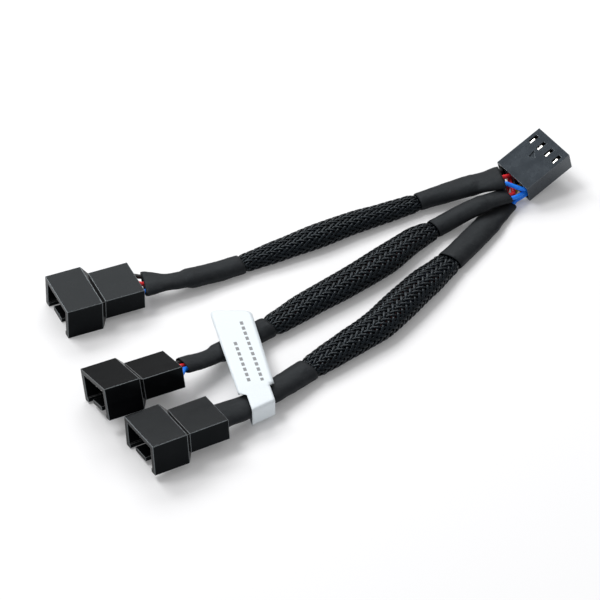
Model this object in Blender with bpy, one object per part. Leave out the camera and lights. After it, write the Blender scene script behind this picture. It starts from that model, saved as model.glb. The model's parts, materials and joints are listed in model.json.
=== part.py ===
"""Three way fan splitter cable: one four circuit socket, three sleeved branches, three shrouded plugs.

Everything is in metres, +Z up, standing on Z = 0. +X runs from the plugs towards the socket's mating end.
A connector's own frame has X from its mating end to its wires, Y across its circuits and Z up.
"""

import math

import bmesh
import bpy
from mathutils import Euler, Vector

# Circuits, in the order of their cells: ground, 12 V supply, speed signal, speed control
CIRCUITS = ("ground", "supply", "speed", "control")
PITCH = 0.00254
PIN_SIDE = 0.00064
WIRE_DIAMETER = 0.001
WIRE_GAP = 0.0001
LAYER_GAP = 0.0001
FIT_GAP = 0.0003
SLIDE_GAP = 0.0002
EDGE_ROUND = 0.00015
CUT_OVERRUN = 0.001

# Socket, the female end that goes on the board's header
SOCKET_LENGTH = 0.0125
SOCKET_HEIGHT = 0.0049
SOCKET_SKIN = 0.0006
SOCKET_FACE = 0.001
CELL_RIB = 0.0005
PIN_ENTRY = 0.0011
WINDOW_LENGTH = 0.0023
WINDOW_WIDTH = 0.0009
WINDOW_CENTRE = 0.0028
RIB_WIDTH = 0.0009
RIB_HEIGHT = 0.0009
RIB_LENGTH = 0.0072
RIB_SETBACK = 0.0003

# Socket terminals
CONTACT_WIDTH = 0.0015
CONTACT_HEIGHT = 0.0022
CONTACT_LENGTH = 0.0046
CONTACT_HOLE = 0.0009
CONTACT_HOLE_DEPTH = 0.0035
TANG_WIDTH = 0.0006
TANG_LENGTH = 0.0012
NECK_SIDE = 0.0008
NECK_LENGTH = 0.0006
CRIMP_WIDTH = 0.0013
CRIMP_LENGTH = 0.0009

# Plug, the male end that takes a fan's own connector
SHROUD_WALL = 0.0013
SHROUD_SKIN = 0.001
SHROUD_DEPTH = 0.0081
SHOULDER = 0.0012
CORE_WIDTH = 0.0103
CORE_HEIGHT = 0.0049
CORE_LENGTH = 0.0091
CORE_LIFT = 0.0013
TONGUE_WIDTH = 0.0046
TONGUE_SETBACK = 0.0006
PLUG_CELL_WIDTH = 0.0017
PLUG_CELL_HEIGHT = 0.0022
MOUTH_WALL = 0.00024
MOUTH_HEIGHT = 0.0028
MOUTH_DEPTH = 0.0014

# Plug pins
PIN_REACH = 0.0062
PIN_POINT = 0.0005
BLOCK_LENGTH = 0.003
BLOCK_PLAY = 0.0002
PIN_CRIMP_LENGTH = 0.002
PIN_CRIMP_SIDE = 0.0011

# Sleeves, heat shrink tubes and their sections
SLEEVE_WALL = 0.0002
SHRINK_WALL = 0.00025
SECTION_SIDES = 12
SECTION_POWER = 2.3
RING_STEP = 0.0042
WIRE_STEP = 0.0018
BEND_STEP = 0.0009

# Label: a flag with a narrower loop around branch 3, its layers stuck together. Left and right as seen
# along the flag from the loop.
LABEL_THICKNESS = 0.0003
FLAG_NEAR_LEFT = (-0.03905, -0.0229)
FLAG_NEAR_RIGHT = (-0.0311, -0.0247)
FLAG_FAR_RIGHT = (-0.0210, -0.0030)
FLAG_FAR_LEFT = (-0.0282, 0.0024)
FLAG_CORNER = 0.0016
FLAG_UNDERSIDE = 0.0051
LOOP_WIDTH = 0.0058
LOOP_CENTRE = (-0.0353, -0.0250)
LOOP_REACH = 0.00385
LOOP_SHOULDER = 0.0003
LOOP_SKEW = math.radians(-10.0)
LOOP_FLOOR = 0.0009

# Where the connectors lie: x and y of the wire end's bottom middle, then roll, pitch and yaw
SOCKET_PLACE = ((0.0539, -0.0001), (math.radians(-8.5), math.radians(18.5), math.radians(180.0)))
PLUG_PLACES = {
    1: ((-0.0346, 0.0203), (0.0, 0.0, math.radians(-13.5))),
    2: ((-0.04555, -0.00975), (math.radians(-18.0), 0.0, math.radians(-11.0))),
    3: ((-0.0464, -0.0259), (math.radians(-7.0), 0.0, math.radians(-8.3))),
}

# Branches. The route runs from the mouth of the socket's tube to the end of the plug's tube. Each section
# list holds a distance along the route, and the width and thickness of the outside there. The plug tube's
# distances are counted back from the end of the route. Pitches space the wires' row at the two tube ends, and
# leads are how far each wire runs straight on out of a tube.
BRANCHES = {
    1: {
        "circuits": ("ground", "supply", "control"),
        "route": (
            (0.0506, 0.0006, 0.0047), (0.0481, 0.0017, 0.0043), (0.0454, 0.0033, 0.0036),
            (0.0390, 0.0059, 0.0025), (0.0324, 0.0077, 0.0019), (0.0244, 0.0092, 0.0018),
            (0.0168, 0.0105, 0.0020), (0.0077, 0.0115, 0.0021), (-0.0018, 0.01275, 0.00195),
            (-0.0107, 0.0141, 0.00175), (-0.0185, 0.0155, 0.0020), (-0.0252, 0.0166, 0.0029),
            (-0.0283, 0.0174, 0.0033), (-0.03315, 0.0197, 0.0037),
        ),
        "socket_tube": (
            (0.0, 0.0074, 0.0023), (0.0052, 0.0062, 0.0023), (0.0068, 0.0060, 0.0029),
            (0.0196, 0.0047, 0.0031),
        ),
        "sleeve": (
            (0.0212, 0.0050, 0.0032), (0.0278, 0.0056, 0.0033), (0.0355, 0.0062, 0.0036),
            (0.0447, 0.0067, 0.0038), (0.0542, 0.0059, 0.0035), (0.0618, 0.0050, 0.0032),
        ),
        "plug_tube": (
            (0.0230, 0.0054, 0.0031), (0.0105, 0.0055, 0.0031), (0.0088, 0.0049, 0.0024),
            (0.0060, 0.0047, 0.0022), (0.0, 0.0079, 0.0020),
        ),
        "pitches": (0.0023, 0.0025),
        "mouth_lean": 0.00025,
        "socket_leads": (0.0004, 0.0004, 0.0003),
        "plug_leads": (0.0003, 0.0003, 0.0003),
    },
    2: {
        "circuits": ("ground", "supply", "control"),
        "route": (
            (0.0490, -0.0034, 0.0029), (0.0447, -0.0030, 0.0034), (0.0392, -0.0024, 0.0031),
            (0.0298, -0.0017, 0.0018), (0.0242, -0.0021, 0.0021), (0.0133, -0.0042, 0.00235),
            (0.0029, -0.0052, 0.0023), (-0.0081, -0.0057, 0.0022), (-0.0164, -0.0064, 0.00205),
            (-0.0215, -0.0067, 0.0023), (-0.0270, -0.0073, 0.0027), (-0.0328, -0.0079, 0.0031),
            (-0.0380, -0.0087, 0.0043), (-0.0433, -0.0087, 0.0055),
        ),
        "socket_tube": (
            (0.0, 0.0045, 0.0019), (0.0050, 0.0046, 0.0020), (0.0068, 0.0049, 0.0026),
            (0.0195, 0.0049, 0.0031),
        ),
        "sleeve": (
            (0.0212, 0.0056, 0.0034), (0.0255, 0.0065, 0.0038), (0.0365, 0.0078, 0.0043),
            (0.0470, 0.0075, 0.0042), (0.0580, 0.0070, 0.0040), (0.0664, 0.0061, 0.0036),
        ),
        "plug_tube": (
            (0.0246, 0.0057, 0.0032), (0.0106, 0.0053, 0.0029), (0.0086, 0.0046, 0.0022),
            (0.0, 0.0050, 0.0022),
        ),
        "pitches": (0.0012, 0.0012),
        "mouth_lean": 0.00025,
        "socket_leads": (0.0002, 0.0016, 0.0016),
        "plug_leads": (0.0003, 0.0008, 0.0003),
    },
    3: {
        "circuits": ("ground", "supply", "speed", "control"),
        "route": (
            (0.0484, -0.0032, 0.00095), (0.0447, -0.0050, 0.0011), (0.0404, -0.0071, 0.00138),
            (0.0328, -0.0100, 0.0016), (0.0248, -0.0127, 0.0018), (0.0149, -0.0157, 0.0023),
            (0.0063, -0.01845, 0.0024), (-0.0003, -0.0204, 0.0024), (-0.0073, -0.0212, 0.0023),
            (-0.0139, -0.0219, 0.0022), (-0.0213, -0.0228, 0.0022), (-0.0304, -0.0243, 0.0029),
            (-0.0390, -0.02545, 0.0035), (-0.0450, -0.02548, 0.0044),
        ),
        "socket_tube": (
            (0.0, 0.0061, 0.00185), (0.0068, 0.0058, 0.0020), (0.0088, 0.0061, 0.0025),
            (0.0245, 0.0061, 0.0032),
        ),
        "sleeve": (
            (0.0262, 0.0065, 0.0036), (0.0350, 0.0080, 0.0042), (0.0442, 0.0084, 0.0044),
            (0.0512, 0.0083, 0.0044), (0.0580, 0.0077, 0.0042), (0.0645, 0.0070, 0.0040),
            (0.0700, 0.0063, 0.0036),
        ),
        "plug_tube": (
            (0.0248, 0.0061, 0.0032), (0.0138, 0.0060, 0.0030), (0.0120, 0.0057, 0.0026),
            (0.0, 0.0072, 0.0025),
        ),
        "pitches": (0.00118, 0.0014),
        "mouth_lean": 0.0002,
        "socket_leads": (0.0003, 0.0012, 0.0017, 0.0019),
        "plug_leads": (0.0002, 0.0006, 0.0006, 0.0002),
    },
}

# Sizes that follow from the ones above
WIRE_PITCH = WIRE_DIAMETER + WIRE_GAP
SOCKET_WIDTH = len(CIRCUITS) * PITCH
SOCKET_CELL_WIDTH = PITCH - CELL_RIB
SOCKET_CELL_HEIGHT = SOCKET_HEIGHT - 2 * SOCKET_SKIN
SOCKET_AXIS = SOCKET_HEIGHT / 2
TANG_TOP = SOCKET_HEIGHT - SOCKET_SKIN / 2
CRIMP_HEIGHT = 3 * WIRE_DIAMETER + WIRE_GAP
TERMINAL_FRONT = SOCKET_FACE + FIT_GAP
TERMINAL_END = TERMINAL_FRONT + CONTACT_LENGTH + NECK_LENGTH + CRIMP_LENGTH
SHROUD_INNER_WIDTH = SOCKET_WIDTH + 2 * SLIDE_GAP
SHROUD_INNER_HEIGHT = SOCKET_HEIGHT + 2 * SLIDE_GAP
SHROUD_WIDTH = SHROUD_INNER_WIDTH + 2 * SHROUD_WALL
SHROUD_HEIGHT = SHROUD_INNER_HEIGHT + 2 * SHROUD_SKIN
CORE_START = SHROUD_DEPTH + SHOULDER
PLUG_LENGTH = CORE_START + CORE_LENGTH
PLUG_AXIS = SHROUD_HEIGHT / 2
BLOCK_START = SHROUD_DEPTH + FIT_GAP
BLOCK_END = BLOCK_START + BLOCK_LENGTH
PIN_END = BLOCK_END + PIN_CRIMP_LENGTH
RIB_OFFSET = TONGUE_WIDTH / 2 + SLIDE_GAP + RIB_WIDTH / 2
SHRINK_FIT = SHRINK_WALL + LAYER_GAP

# Finishes: colour, roughness, metallic
BLACK_NYLON = ((0.012, 0.012, 0.014), 0.32, 0.0)
SOCKET_NYLON = ((0.040, 0.045, 0.055), 0.48, 0.0)
TIN = ((0.78, 0.76, 0.72), 0.25, 1.0)
SHRINK_BLACK = ((0.018, 0.018, 0.019), 0.55, 0.0)
BRAID_BLACK = ((0.008, 0.010, 0.013), 0.45, 0.0)
LABEL_WHITE = ((0.83, 0.86, 0.88), 0.45, 0.0)
WIRE_FINISHES = {
    "ground": ((0.010, 0.010, 0.011), 0.35, 0.0),
    "supply": ((0.60, 0.02, 0.035), 0.35, 0.0),
    "speed": ((0.60, 0.38, 0.02), 0.35, 0.0),
    "control": ((0.005, 0.16, 0.78), 0.35, 0.0),
}


def clear_scene():
    for obj in list(bpy.data.objects):
        bpy.data.objects.remove(obj)


def finish_of(name, finish):
    """The named material, made the first time it is asked for."""
    material = bpy.data.materials.get(name) or bpy.data.materials.new(name)
    material.use_nodes = True
    shader = material.node_tree.nodes["Principled BSDF"]
    colour, roughness, metallic = finish
    shader.inputs["Base Color"].default_value = (*colour, 1.0)
    shader.inputs["Roughness"].default_value = roughness
    shader.inputs["Metallic"].default_value = metallic
    material.diffuse_color = (*colour, 1.0)
    return material


def add_object(name, data, finish=None):
    obj = bpy.data.objects.new(name, data)
    bpy.context.scene.collection.objects.link(obj)
    if finish:
        data.materials.append(finish_of(name, finish))
    return obj


def mesh_of(bm, name):
    bmesh.ops.recalc_face_normals(bm, faces=bm.faces)
    mesh = bpy.data.meshes.new(name)
    bm.to_mesh(mesh)
    bm.free()
    return mesh


def circuit_offset(circuit):
    """How far a circuit lies from the middle, before the side it is counted from."""
    return (CIRCUITS.index(circuit) - (len(CIRCUITS) - 1) / 2) * PITCH


def skin(bm, rings, closed=False):
    """Quads between each ring of points and the next, with the two ends capped, or joined when closed."""
    loops = [[bm.verts.new(point) for point in ring] for ring in rings]
    pairs = list(zip(loops, loops[1:]))
    if closed:
        pairs.append((loops[-1], loops[0]))
    for first, second in pairs:
        for k in range(len(first)):
            after = (k + 1) % len(first)
            bm.faces.new((first[k], first[after], second[after], second[k]))
    if not closed:
        bm.faces.new(reversed(loops[0]))
        bm.faces.new(loops[-1])
    return loops


def box_ring(x, width, low, high, middle=0.0):
    """A rectangle across X at x: width across Y about middle, and from low to high in Z."""
    left, right = middle - width / 2, middle + width / 2
    return [Vector((x, left, low)), Vector((x, right, low)), Vector((x, right, high)), Vector((x, left, high))]


def centred_ring(x, width, height, axis, middle=0.0):
    return box_ring(x, width, axis - height / 2, axis + height / 2, middle)


def round_outside(bm, loops):
    """Rounds the edges that lie between the given corner loops of a housing."""
    corners = {vert for loop in loops for vert in loop}
    edges = [edge for edge in bm.edges if set(edge.verts) <= corners]
    bmesh.ops.bevel(bm, geom=edges, offset=EDGE_ROUND, affect="EDGES", segments=2, profile=0.5, material=-1)


def cut(target, cutter, operation="DIFFERENCE"):
    """A Boolean on target, with the cutter kept as a hidden helper that follows it."""
    cutter.hide_render = True
    cutter.display_type = "WIRE"
    cutter.parent = target
    modifier = target.modifiers.new(cutter.name, "BOOLEAN")
    modifier.operation = operation
    modifier.object = cutter
    modifier.solver = "EXACT"


def helper(name, ring_lists):
    """A helper solid made of separate stacks of rings."""
    bm = bmesh.new()
    for rings in ring_lists:
        skin(bm, rings)
    return add_object(name, mesh_of(bm, name))


def turned(place):
    """The rotation of a connector's place."""
    return Euler(place[1], "XYZ").to_matrix()


def seat(place, corners, length):
    """The location of the mating end that puts the wire end at its place and the lowest corner on Z = 0."""
    rotation = turned(place)
    lowest = min((rotation @ Vector(corner)).z for corner in corners)
    start = Vector((*place[0], 0.0)) - rotation @ Vector((length, 0.0, 0.0))
    return Vector((start.x, start.y, -lowest))


def socket_location():
    return seat(SOCKET_PLACE, socket_corners(), SOCKET_LENGTH)


def plug_location(number):
    return seat(PLUG_PLACES[number], plug_corners(), PLUG_LENGTH)


def socket_corners():
    side = SOCKET_WIDTH / 2
    body = [(x, y, 0.0) for x in (0.0, SOCKET_LENGTH) for y in (-side, side)]
    ribs = [(x, y + half, -RIB_HEIGHT) for x in (RIB_SETBACK, RIB_SETBACK + RIB_LENGTH)
            for y in rib_middles() for half in (-RIB_WIDTH / 2, RIB_WIDTH / 2)]
    return body + ribs


def plug_corners():
    side = SHROUD_WIDTH / 2
    return [(x, y, 0.0) for x in (0.0, SHROUD_DEPTH) for y in (-side, side)]


def rib_middles():
    """The ribs straddle the plug's tongue, which is centred on the supply circuit."""
    tongue = circuit_offset("supply")
    return (tongue - RIB_OFFSET, tongue + RIB_OFFSET)


def put(obj, place, location):
    obj.location = location
    obj.rotation_euler = place[1]


def socket_point(x, y, z):
    """A point of the socket's own frame, in the world."""
    return socket_location() + turned(SOCKET_PLACE) @ Vector((x, y, z))


def plug_point(number, x, y, z):
    return plug_location(number) + turned(PLUG_PLACES[number]) @ Vector((x, y, z))


def make_socket_housing():
    bm = bmesh.new()
    loops = skin(bm, [
        box_ring(0.0, SOCKET_WIDTH, 0.0, SOCKET_HEIGHT),
        box_ring(SOCKET_LENGTH, SOCKET_WIDTH, 0.0, SOCKET_HEIGHT),
    ])
    round_outside(bm, loops)
    housing = add_object("socket_housing", mesh_of(bm, "socket_housing"), SOCKET_NYLON)
    ribs = [[box_ring(x, RIB_WIDTH, -RIB_HEIGHT, SOCKET_SKIN / 2, middle)
             for x in (RIB_SETBACK, RIB_SETBACK + RIB_LENGTH)] for middle in rib_middles()]
    cut(housing, helper("socket_ribs", ribs), "UNION")
    cells, windows = [], []
    for circuit in CIRCUITS:
        y = circuit_offset(circuit)
        cells.append([
            centred_ring(-CUT_OVERRUN, PIN_ENTRY, PIN_ENTRY, SOCKET_AXIS, y),
            centred_ring(SOCKET_FACE, PIN_ENTRY, PIN_ENTRY, SOCKET_AXIS, y),
            centred_ring(SOCKET_FACE, SOCKET_CELL_WIDTH, SOCKET_CELL_HEIGHT, SOCKET_AXIS, y),
            centred_ring(SOCKET_LENGTH + CUT_OVERRUN, SOCKET_CELL_WIDTH, SOCKET_CELL_HEIGHT, SOCKET_AXIS, y),
        ])
        windows.append([box_ring(WINDOW_CENTRE + side * WINDOW_LENGTH / 2, WINDOW_WIDTH,
                                 SOCKET_AXIS, SOCKET_HEIGHT + CUT_OVERRUN, y) for side in (-1, 1)])
    cut(housing, helper("socket_cells", cells))
    cut(housing, helper("socket_windows", windows))
    put(housing, SOCKET_PLACE, socket_location())


def make_socket_terminal(circuit):
    """A box contact with a locking tang in its window, a neck and the crimp behind the wires."""
    name = "socket_terminal_" + circuit
    y = circuit_offset(circuit)
    neck_start = TERMINAL_FRONT + CONTACT_LENGTH
    crimp_start = neck_start + NECK_LENGTH
    bm = bmesh.new()
    skin(bm, [
        centred_ring(TERMINAL_FRONT + CONTACT_HOLE_DEPTH, CONTACT_HOLE, CONTACT_HOLE, SOCKET_AXIS, y),
        centred_ring(TERMINAL_FRONT, CONTACT_HOLE, CONTACT_HOLE, SOCKET_AXIS, y),
        centred_ring(TERMINAL_FRONT, CONTACT_WIDTH, CONTACT_HEIGHT, SOCKET_AXIS, y),
        centred_ring(neck_start, CONTACT_WIDTH, CONTACT_HEIGHT, SOCKET_AXIS, y),
        centred_ring(neck_start, NECK_SIDE, NECK_SIDE, SOCKET_AXIS, y),
        centred_ring(crimp_start, NECK_SIDE, NECK_SIDE, SOCKET_AXIS, y),
        centred_ring(crimp_start, CRIMP_WIDTH, CRIMP_HEIGHT, SOCKET_AXIS, y),
        centred_ring(TERMINAL_END, CRIMP_WIDTH, CRIMP_HEIGHT, SOCKET_AXIS, y),
    ])
    terminal = add_object(name, mesh_of(bm, name), TIN)
    contact_top = SOCKET_AXIS + CONTACT_HEIGHT / 2
    tang = [
        box_ring(WINDOW_CENTRE - TANG_LENGTH / 2, TANG_WIDTH, SOCKET_AXIS + CONTACT_HOLE, contact_top + LAYER_GAP, y),
        box_ring(WINDOW_CENTRE + TANG_LENGTH / 2, TANG_WIDTH, SOCKET_AXIS + CONTACT_HOLE, TANG_TOP, y),
    ]
    cut(terminal, helper(name + "_tang", [tang]), "UNION")
    put(terminal, SOCKET_PLACE, socket_location())


def make_plug_housing(number):
    """A shroud, a chamfered shoulder and the narrower core with its four cells, moulded in one piece."""
    name = f"plug_housing_{number}"
    core_top = CORE_LIFT + CORE_HEIGHT
    bm = bmesh.new()
    loops = skin(bm, [
        centred_ring(SHROUD_DEPTH, SHROUD_INNER_WIDTH, SHROUD_INNER_HEIGHT, PLUG_AXIS),
        centred_ring(0.0, SHROUD_INNER_WIDTH, SHROUD_INNER_HEIGHT, PLUG_AXIS),
        box_ring(0.0, SHROUD_WIDTH, 0.0, SHROUD_HEIGHT),
        box_ring(SHROUD_DEPTH, SHROUD_WIDTH, 0.0, SHROUD_HEIGHT),
        box_ring(CORE_START, CORE_WIDTH, CORE_LIFT, core_top),
        box_ring(PLUG_LENGTH, CORE_WIDTH, CORE_LIFT, core_top),
    ])
    round_outside(bm, loops[2:])
    housing = add_object(name, mesh_of(bm, name), BLACK_NYLON)
    cells = []
    for circuit in CIRCUITS:
        y = circuit_offset(circuit)
        mouth = PLUG_LENGTH - MOUTH_DEPTH
        cells.append([
            centred_ring(SHROUD_DEPTH - CUT_OVERRUN, PLUG_CELL_WIDTH, PLUG_CELL_HEIGHT, PLUG_AXIS, y),
            centred_ring(mouth, PLUG_CELL_WIDTH, PLUG_CELL_HEIGHT, PLUG_AXIS, y),
            centred_ring(mouth, PITCH - MOUTH_WALL, MOUTH_HEIGHT, PLUG_AXIS, y),
            centred_ring(PLUG_LENGTH + CUT_OVERRUN, PITCH - MOUTH_WALL, MOUTH_HEIGHT, PLUG_AXIS, y),
        ])
    cut(housing, helper(name + "_cells", cells))
    cut(housing, make_rib_slots(name + "_slots"))
    put(housing, PLUG_PLACES[number], plug_location(number))


def make_rib_slots(name):
    """The opening in the shroud's underside that leaves two feet and the tongue between them."""
    tongue = -circuit_offset("supply")
    foot = RIB_OFFSET + RIB_WIDTH / 2 + SLIDE_GAP + abs(tongue)
    slot_end = RIB_SETBACK + RIB_LENGTH + SLIDE_GAP
    near, far = tongue - TONGUE_WIDTH / 2, tongue + TONGUE_WIDTH / 2
    outline = [
        (-CUT_OVERRUN, foot), (slot_end, foot), (slot_end, far), (TONGUE_SETBACK, far),
        (TONGUE_SETBACK, near), (slot_end, near), (slot_end, -foot), (-CUT_OVERRUN, -foot),
    ]
    heights = (-CUT_OVERRUN, SHROUD_SKIN + SOCKET_SKIN)
    return helper(name, [[[Vector((x, y, z)) for x, y in outline] for z in heights]])


def make_plug_pin(number, circuit):
    """A square pin with a chamfered point, the block that locks it in its cell, and its crimp."""
    name = f"plug_{number}_pin_{circuit}"
    y = -circuit_offset(circuit)
    point = PIN_SIDE / 3
    block_width = PLUG_CELL_WIDTH - 2 * BLOCK_PLAY
    block_height = PLUG_CELL_HEIGHT - 2 * BLOCK_PLAY
    bm = bmesh.new()
    skin(bm, [
        centred_ring(SHROUD_DEPTH - PIN_REACH, point, point, PLUG_AXIS, y),
        centred_ring(SHROUD_DEPTH - PIN_REACH + PIN_POINT, PIN_SIDE, PIN_SIDE, PLUG_AXIS, y),
        centred_ring(BLOCK_START, PIN_SIDE, PIN_SIDE, PLUG_AXIS, y),
        centred_ring(BLOCK_START, block_width, block_height, PLUG_AXIS, y),
        centred_ring(BLOCK_END, block_width, block_height, PLUG_AXIS, y),
        centred_ring(BLOCK_END, PIN_CRIMP_SIDE, PIN_CRIMP_SIDE, PLUG_AXIS, y),
        centred_ring(PIN_END, PIN_CRIMP_SIDE, PIN_CRIMP_SIDE, PLUG_AXIS, y),
    ])
    pin = add_object(name, mesh_of(bm, name), TIN)
    put(pin, PLUG_PLACES[number], plug_location(number))


def smooth_path(points, step, skip_first=0, skip_last=0):
    """Points a small step apart on a centripetal Catmull-Rom curve, less some of its spans at either end."""
    points = [Vector(point) for point in points]
    points = [2 * points[0] - points[1], *points, 2 * points[-1] - points[-2]]
    spans = list(zip(points, points[1:], points[2:], points[3:]))
    spans = spans[skip_first:len(spans) - skip_last]
    path = [spans[0][1]]
    for corners in spans:
        knots = [0.0]
        for first, second in zip(corners, corners[1:]):
            knots.append(knots[-1] + math.sqrt((second - first).length))
        count = max(1, round((corners[2] - corners[1]).length / step))
        for k in range(1, count + 1):
            path.append(catmull_point(corners, knots, knots[1] + (knots[2] - knots[1]) * k / count))
    return path


def catmull_point(corners, knots, t):
    """The point at t between the second and third corners."""
    lines = [corners[k].lerp(corners[k + 1], (t - knots[k]) / (knots[k + 1] - knots[k])) for k in range(3)]
    bends = [lines[k].lerp(lines[k + 1], (t - knots[k]) / (knots[k + 2] - knots[k])) for k in range(2)]
    return bends[0].lerp(bends[1], (t - knots[1]) / (knots[2] - knots[1]))


class Branch:
    """A branch's centre line with the sections of its layers, all by distance along the line."""

    def __init__(self, number, plan):
        self.number = number
        self.circuits = plan["circuits"]
        self.pitches = plan["pitches"]
        self.mouth_lean = plan["mouth_lean"]
        self.leads = list(zip(plan["socket_leads"], plan["plug_leads"]))
        self.path = smooth_path(plan["route"], BEND_STEP)
        self.marks = [0.0]
        for first, second in zip(self.path, self.path[1:]):
            self.marks.append(self.marks[-1] + (second - first).length)
        self.length = self.marks[-1]
        self.socket_tube = plan["socket_tube"]
        self.sleeve = plan["sleeve"]
        self.plug_tube = [(self.length - back, width, thickness) for back, width, thickness in plan["plug_tube"]]
        self.rings = self.ring_marks()

    def ring_marks(self):
        """Distances at which every layer has a ring, so that nested layers never cross."""
        stations = sorted({station[0] for layer in (self.socket_tube, self.sleeve, self.plug_tube)
                           for station in layer})
        marks = []
        for start, end in zip(stations, stations[1:]):
            count = max(1, round((end - start) / RING_STEP))
            marks += [start + (end - start) * k / count for k in range(count)]
        return marks + [stations[-1]]

    def at(self, distance):
        """The point of the centre line, which goes on straight beyond both ends."""
        k = next((i for i in range(1, len(self.marks)) if self.marks[i] >= distance), len(self.marks) - 1)
        share = (distance - self.marks[k - 1]) / (self.marks[k] - self.marks[k - 1])
        return self.path[k - 1].lerp(self.path[k], share)

    def frame(self, distance):
        """The centre, the level direction to the far side, and the upward direction square to both."""
        ahead = self.at(distance + BEND_STEP) - self.at(distance - BEND_STEP)
        across = Vector((0.0, 0.0, -1.0)).cross(ahead).normalized()
        return self.at(distance), across, across.cross(ahead).normalized()


def eased(stations, distance):
    """The width and thickness at a distance, eased between the stations around it."""
    if distance <= stations[0][0]:
        return stations[0][1:]
    for (start, *before), (end, *after) in zip(stations, stations[1:]):
        if distance <= end:
            share = (distance - start) / (end - start)
            share = share * share * (3 - 2 * share)
            return [low + (high - low) * share for low, high in zip(before, after)]
    return stations[-1][1:]


def oval(branch, distance, width, thickness):
    """A ring of points around the centre line: a flattened oval, wide across and thin in height."""
    centre, across, up = branch.frame(distance)
    ring = []
    for k in range(SECTION_SIDES):
        angle = 2 * math.pi * (k + 0.5) / SECTION_SIDES
        side, height = (math.copysign(abs(part) ** (2 / SECTION_POWER), part)
                        for part in (math.cos(angle), math.sin(angle)))
        ring.append(centre + across * (side * width / 2) + up * (height * thickness / 2))
    return ring


def hollow(name, branch, stations, wall, finish):
    """A tube with an oval section that changes along the branch, open at both ends."""
    marks = [mark for mark in branch.rings if stations[0][0] <= mark <= stations[-1][0]]
    sizes = [eased(stations, mark) for mark in marks]
    rings = [oval(branch, mark, *size) for mark, size in zip(marks, sizes)]
    for mark, (width, thickness) in reversed(list(zip(marks, sizes))):
        rings.append(oval(branch, mark, width - 2 * wall, thickness - 2 * wall))
    bm = bmesh.new()
    skin(bm, rings, closed=True)
    mesh = mesh_of(bm, name)
    mesh.shade_smooth()
    mesh.set_sharp_from_angle(angle=math.radians(50))
    return add_object(name, mesh, finish)


def make_sleeve(branch):
    """The braided sleeve: swollen between the tubes, and drawn in under each of them as far as its step."""
    under = 2 * SHRINK_FIT
    at_socket, at_plug = ([(mark, width - under, thickness - under) for mark, width, thickness in stations]
                          for stations in (branch.socket_tube[2:], branch.plug_tube[:2]))
    stations = [*at_socket, *branch.sleeve, *at_plug]
    hollow(f"braided_sleeve_{branch.number}", branch, stations, SLEEVE_WALL, BRAID_BLACK)


def make_shrink_tubes(branch):
    for end, stations in (("socket", branch.socket_tube), ("plug", branch.plug_tube)):
        hollow(f"shrink_tube_{branch.number}_{end}_end", branch, stations, SHRINK_WALL, SHRINK_BLACK)


def row_pitch(branch, mark):
    """The spacing of the row: close together, and spread at a tube's end where the tube is wider."""
    at_socket, at_plug = branch.pitches
    pitches = (
        (branch.socket_tube[0][0], at_socket), (branch.socket_tube[1][0], WIRE_PITCH),
        (branch.plug_tube[-2][0], WIRE_PITCH), (branch.plug_tube[-1][0], at_plug),
    )
    return eased(pitches, mark)[0]


def on_row(branch, circuit, mark):
    """A wire's centre in the row. The ground wire is on the far side, where the sideways direction points."""
    place = (len(branch.circuits) - 1) / 2 - branch.circuits.index(circuit)
    centre, across, _ = branch.frame(mark)
    return centre + across * (place * row_pitch(branch, mark))


def make_wire(branch, circuit):
    """One whole wire: socket crimp, row through the tubes and sleeve, and plug crimp."""
    layer = (2 - branch.number) * WIRE_PITCH
    socket_y, plug_y = circuit_offset(circuit), -circuit_offset(circuit)
    in_socket = [socket_point(x, socket_y, SOCKET_AXIS + layer)
                 for x in (TERMINAL_END + FIT_GAP, SOCKET_LENGTH - WIRE_DIAMETER, SOCKET_LENGTH)]
    lean = math.copysign(branch.mouth_lean, plug_y)
    in_plug = [plug_point(branch.number, x, y, PLUG_AXIS) for x, y in (
        (PLUG_LENGTH, plug_y - lean), (PLUG_LENGTH - MOUTH_DEPTH, plug_y), (PIN_END + FIT_GAP, plug_y))]
    socket_lead, plug_lead = branch.leads[branch.circuits.index(circuit)]
    row = [on_row(branch, circuit, mark) for mark in (-socket_lead, *branch.rings, branch.length + plug_lead)]
    fan_out = smooth_path([*in_socket, row[0], row[1]], WIRE_STEP, skip_last=1)
    fan_in = smooth_path([row[-2], row[-1], *in_plug], WIRE_STEP, skip_first=1)
    add_wire(f"wire_{branch.number}_{circuit}", fan_out[:-1] + row + fan_in[1:], WIRE_FINISHES[circuit])


def add_wire(name, path, finish):
    curve = bpy.data.curves.new(name, "CURVE")
    curve.dimensions = "3D"
    curve.bevel_depth = WIRE_DIAMETER / 2
    curve.bevel_resolution = 2
    curve.use_fill_caps = True
    spline = curve.splines.new("POLY")
    spline.points.add(len(path) - 1)
    for point, place in zip(spline.points, path):
        point.co = (*place, 1.0)
    return add_object(name, curve, finish)


def make_label(branch):
    """A flag of two layers stuck together, whose narrower end loops around the branch's plug tube."""
    name = "label_flag"
    outline = (FLAG_NEAR_LEFT, FLAG_NEAR_RIGHT, FLAG_FAR_RIGHT, FLAG_FAR_LEFT)
    bm = bmesh.new()
    low, high = skin(bm, [[Vector((*corner, height)) for corner in outline]
                          for height in (FLAG_UNDERSIDE, FLAG_UNDERSIDE + LABEL_THICKNESS)])
    far_edges = [edge for edge in bm.edges if set(edge.verts) in ({low[2], high[2]}, {low[3], high[3]})]
    bmesh.ops.bevel(bm, geom=far_edges, offset=FLAG_CORNER, affect="EDGES", segments=3, profile=0.5, material=-1)
    flag = add_object(name, mesh_of(bm, name), LABEL_WHITE)
    cut(flag, make_loop(name + "_loop", branch), "UNION")


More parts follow.
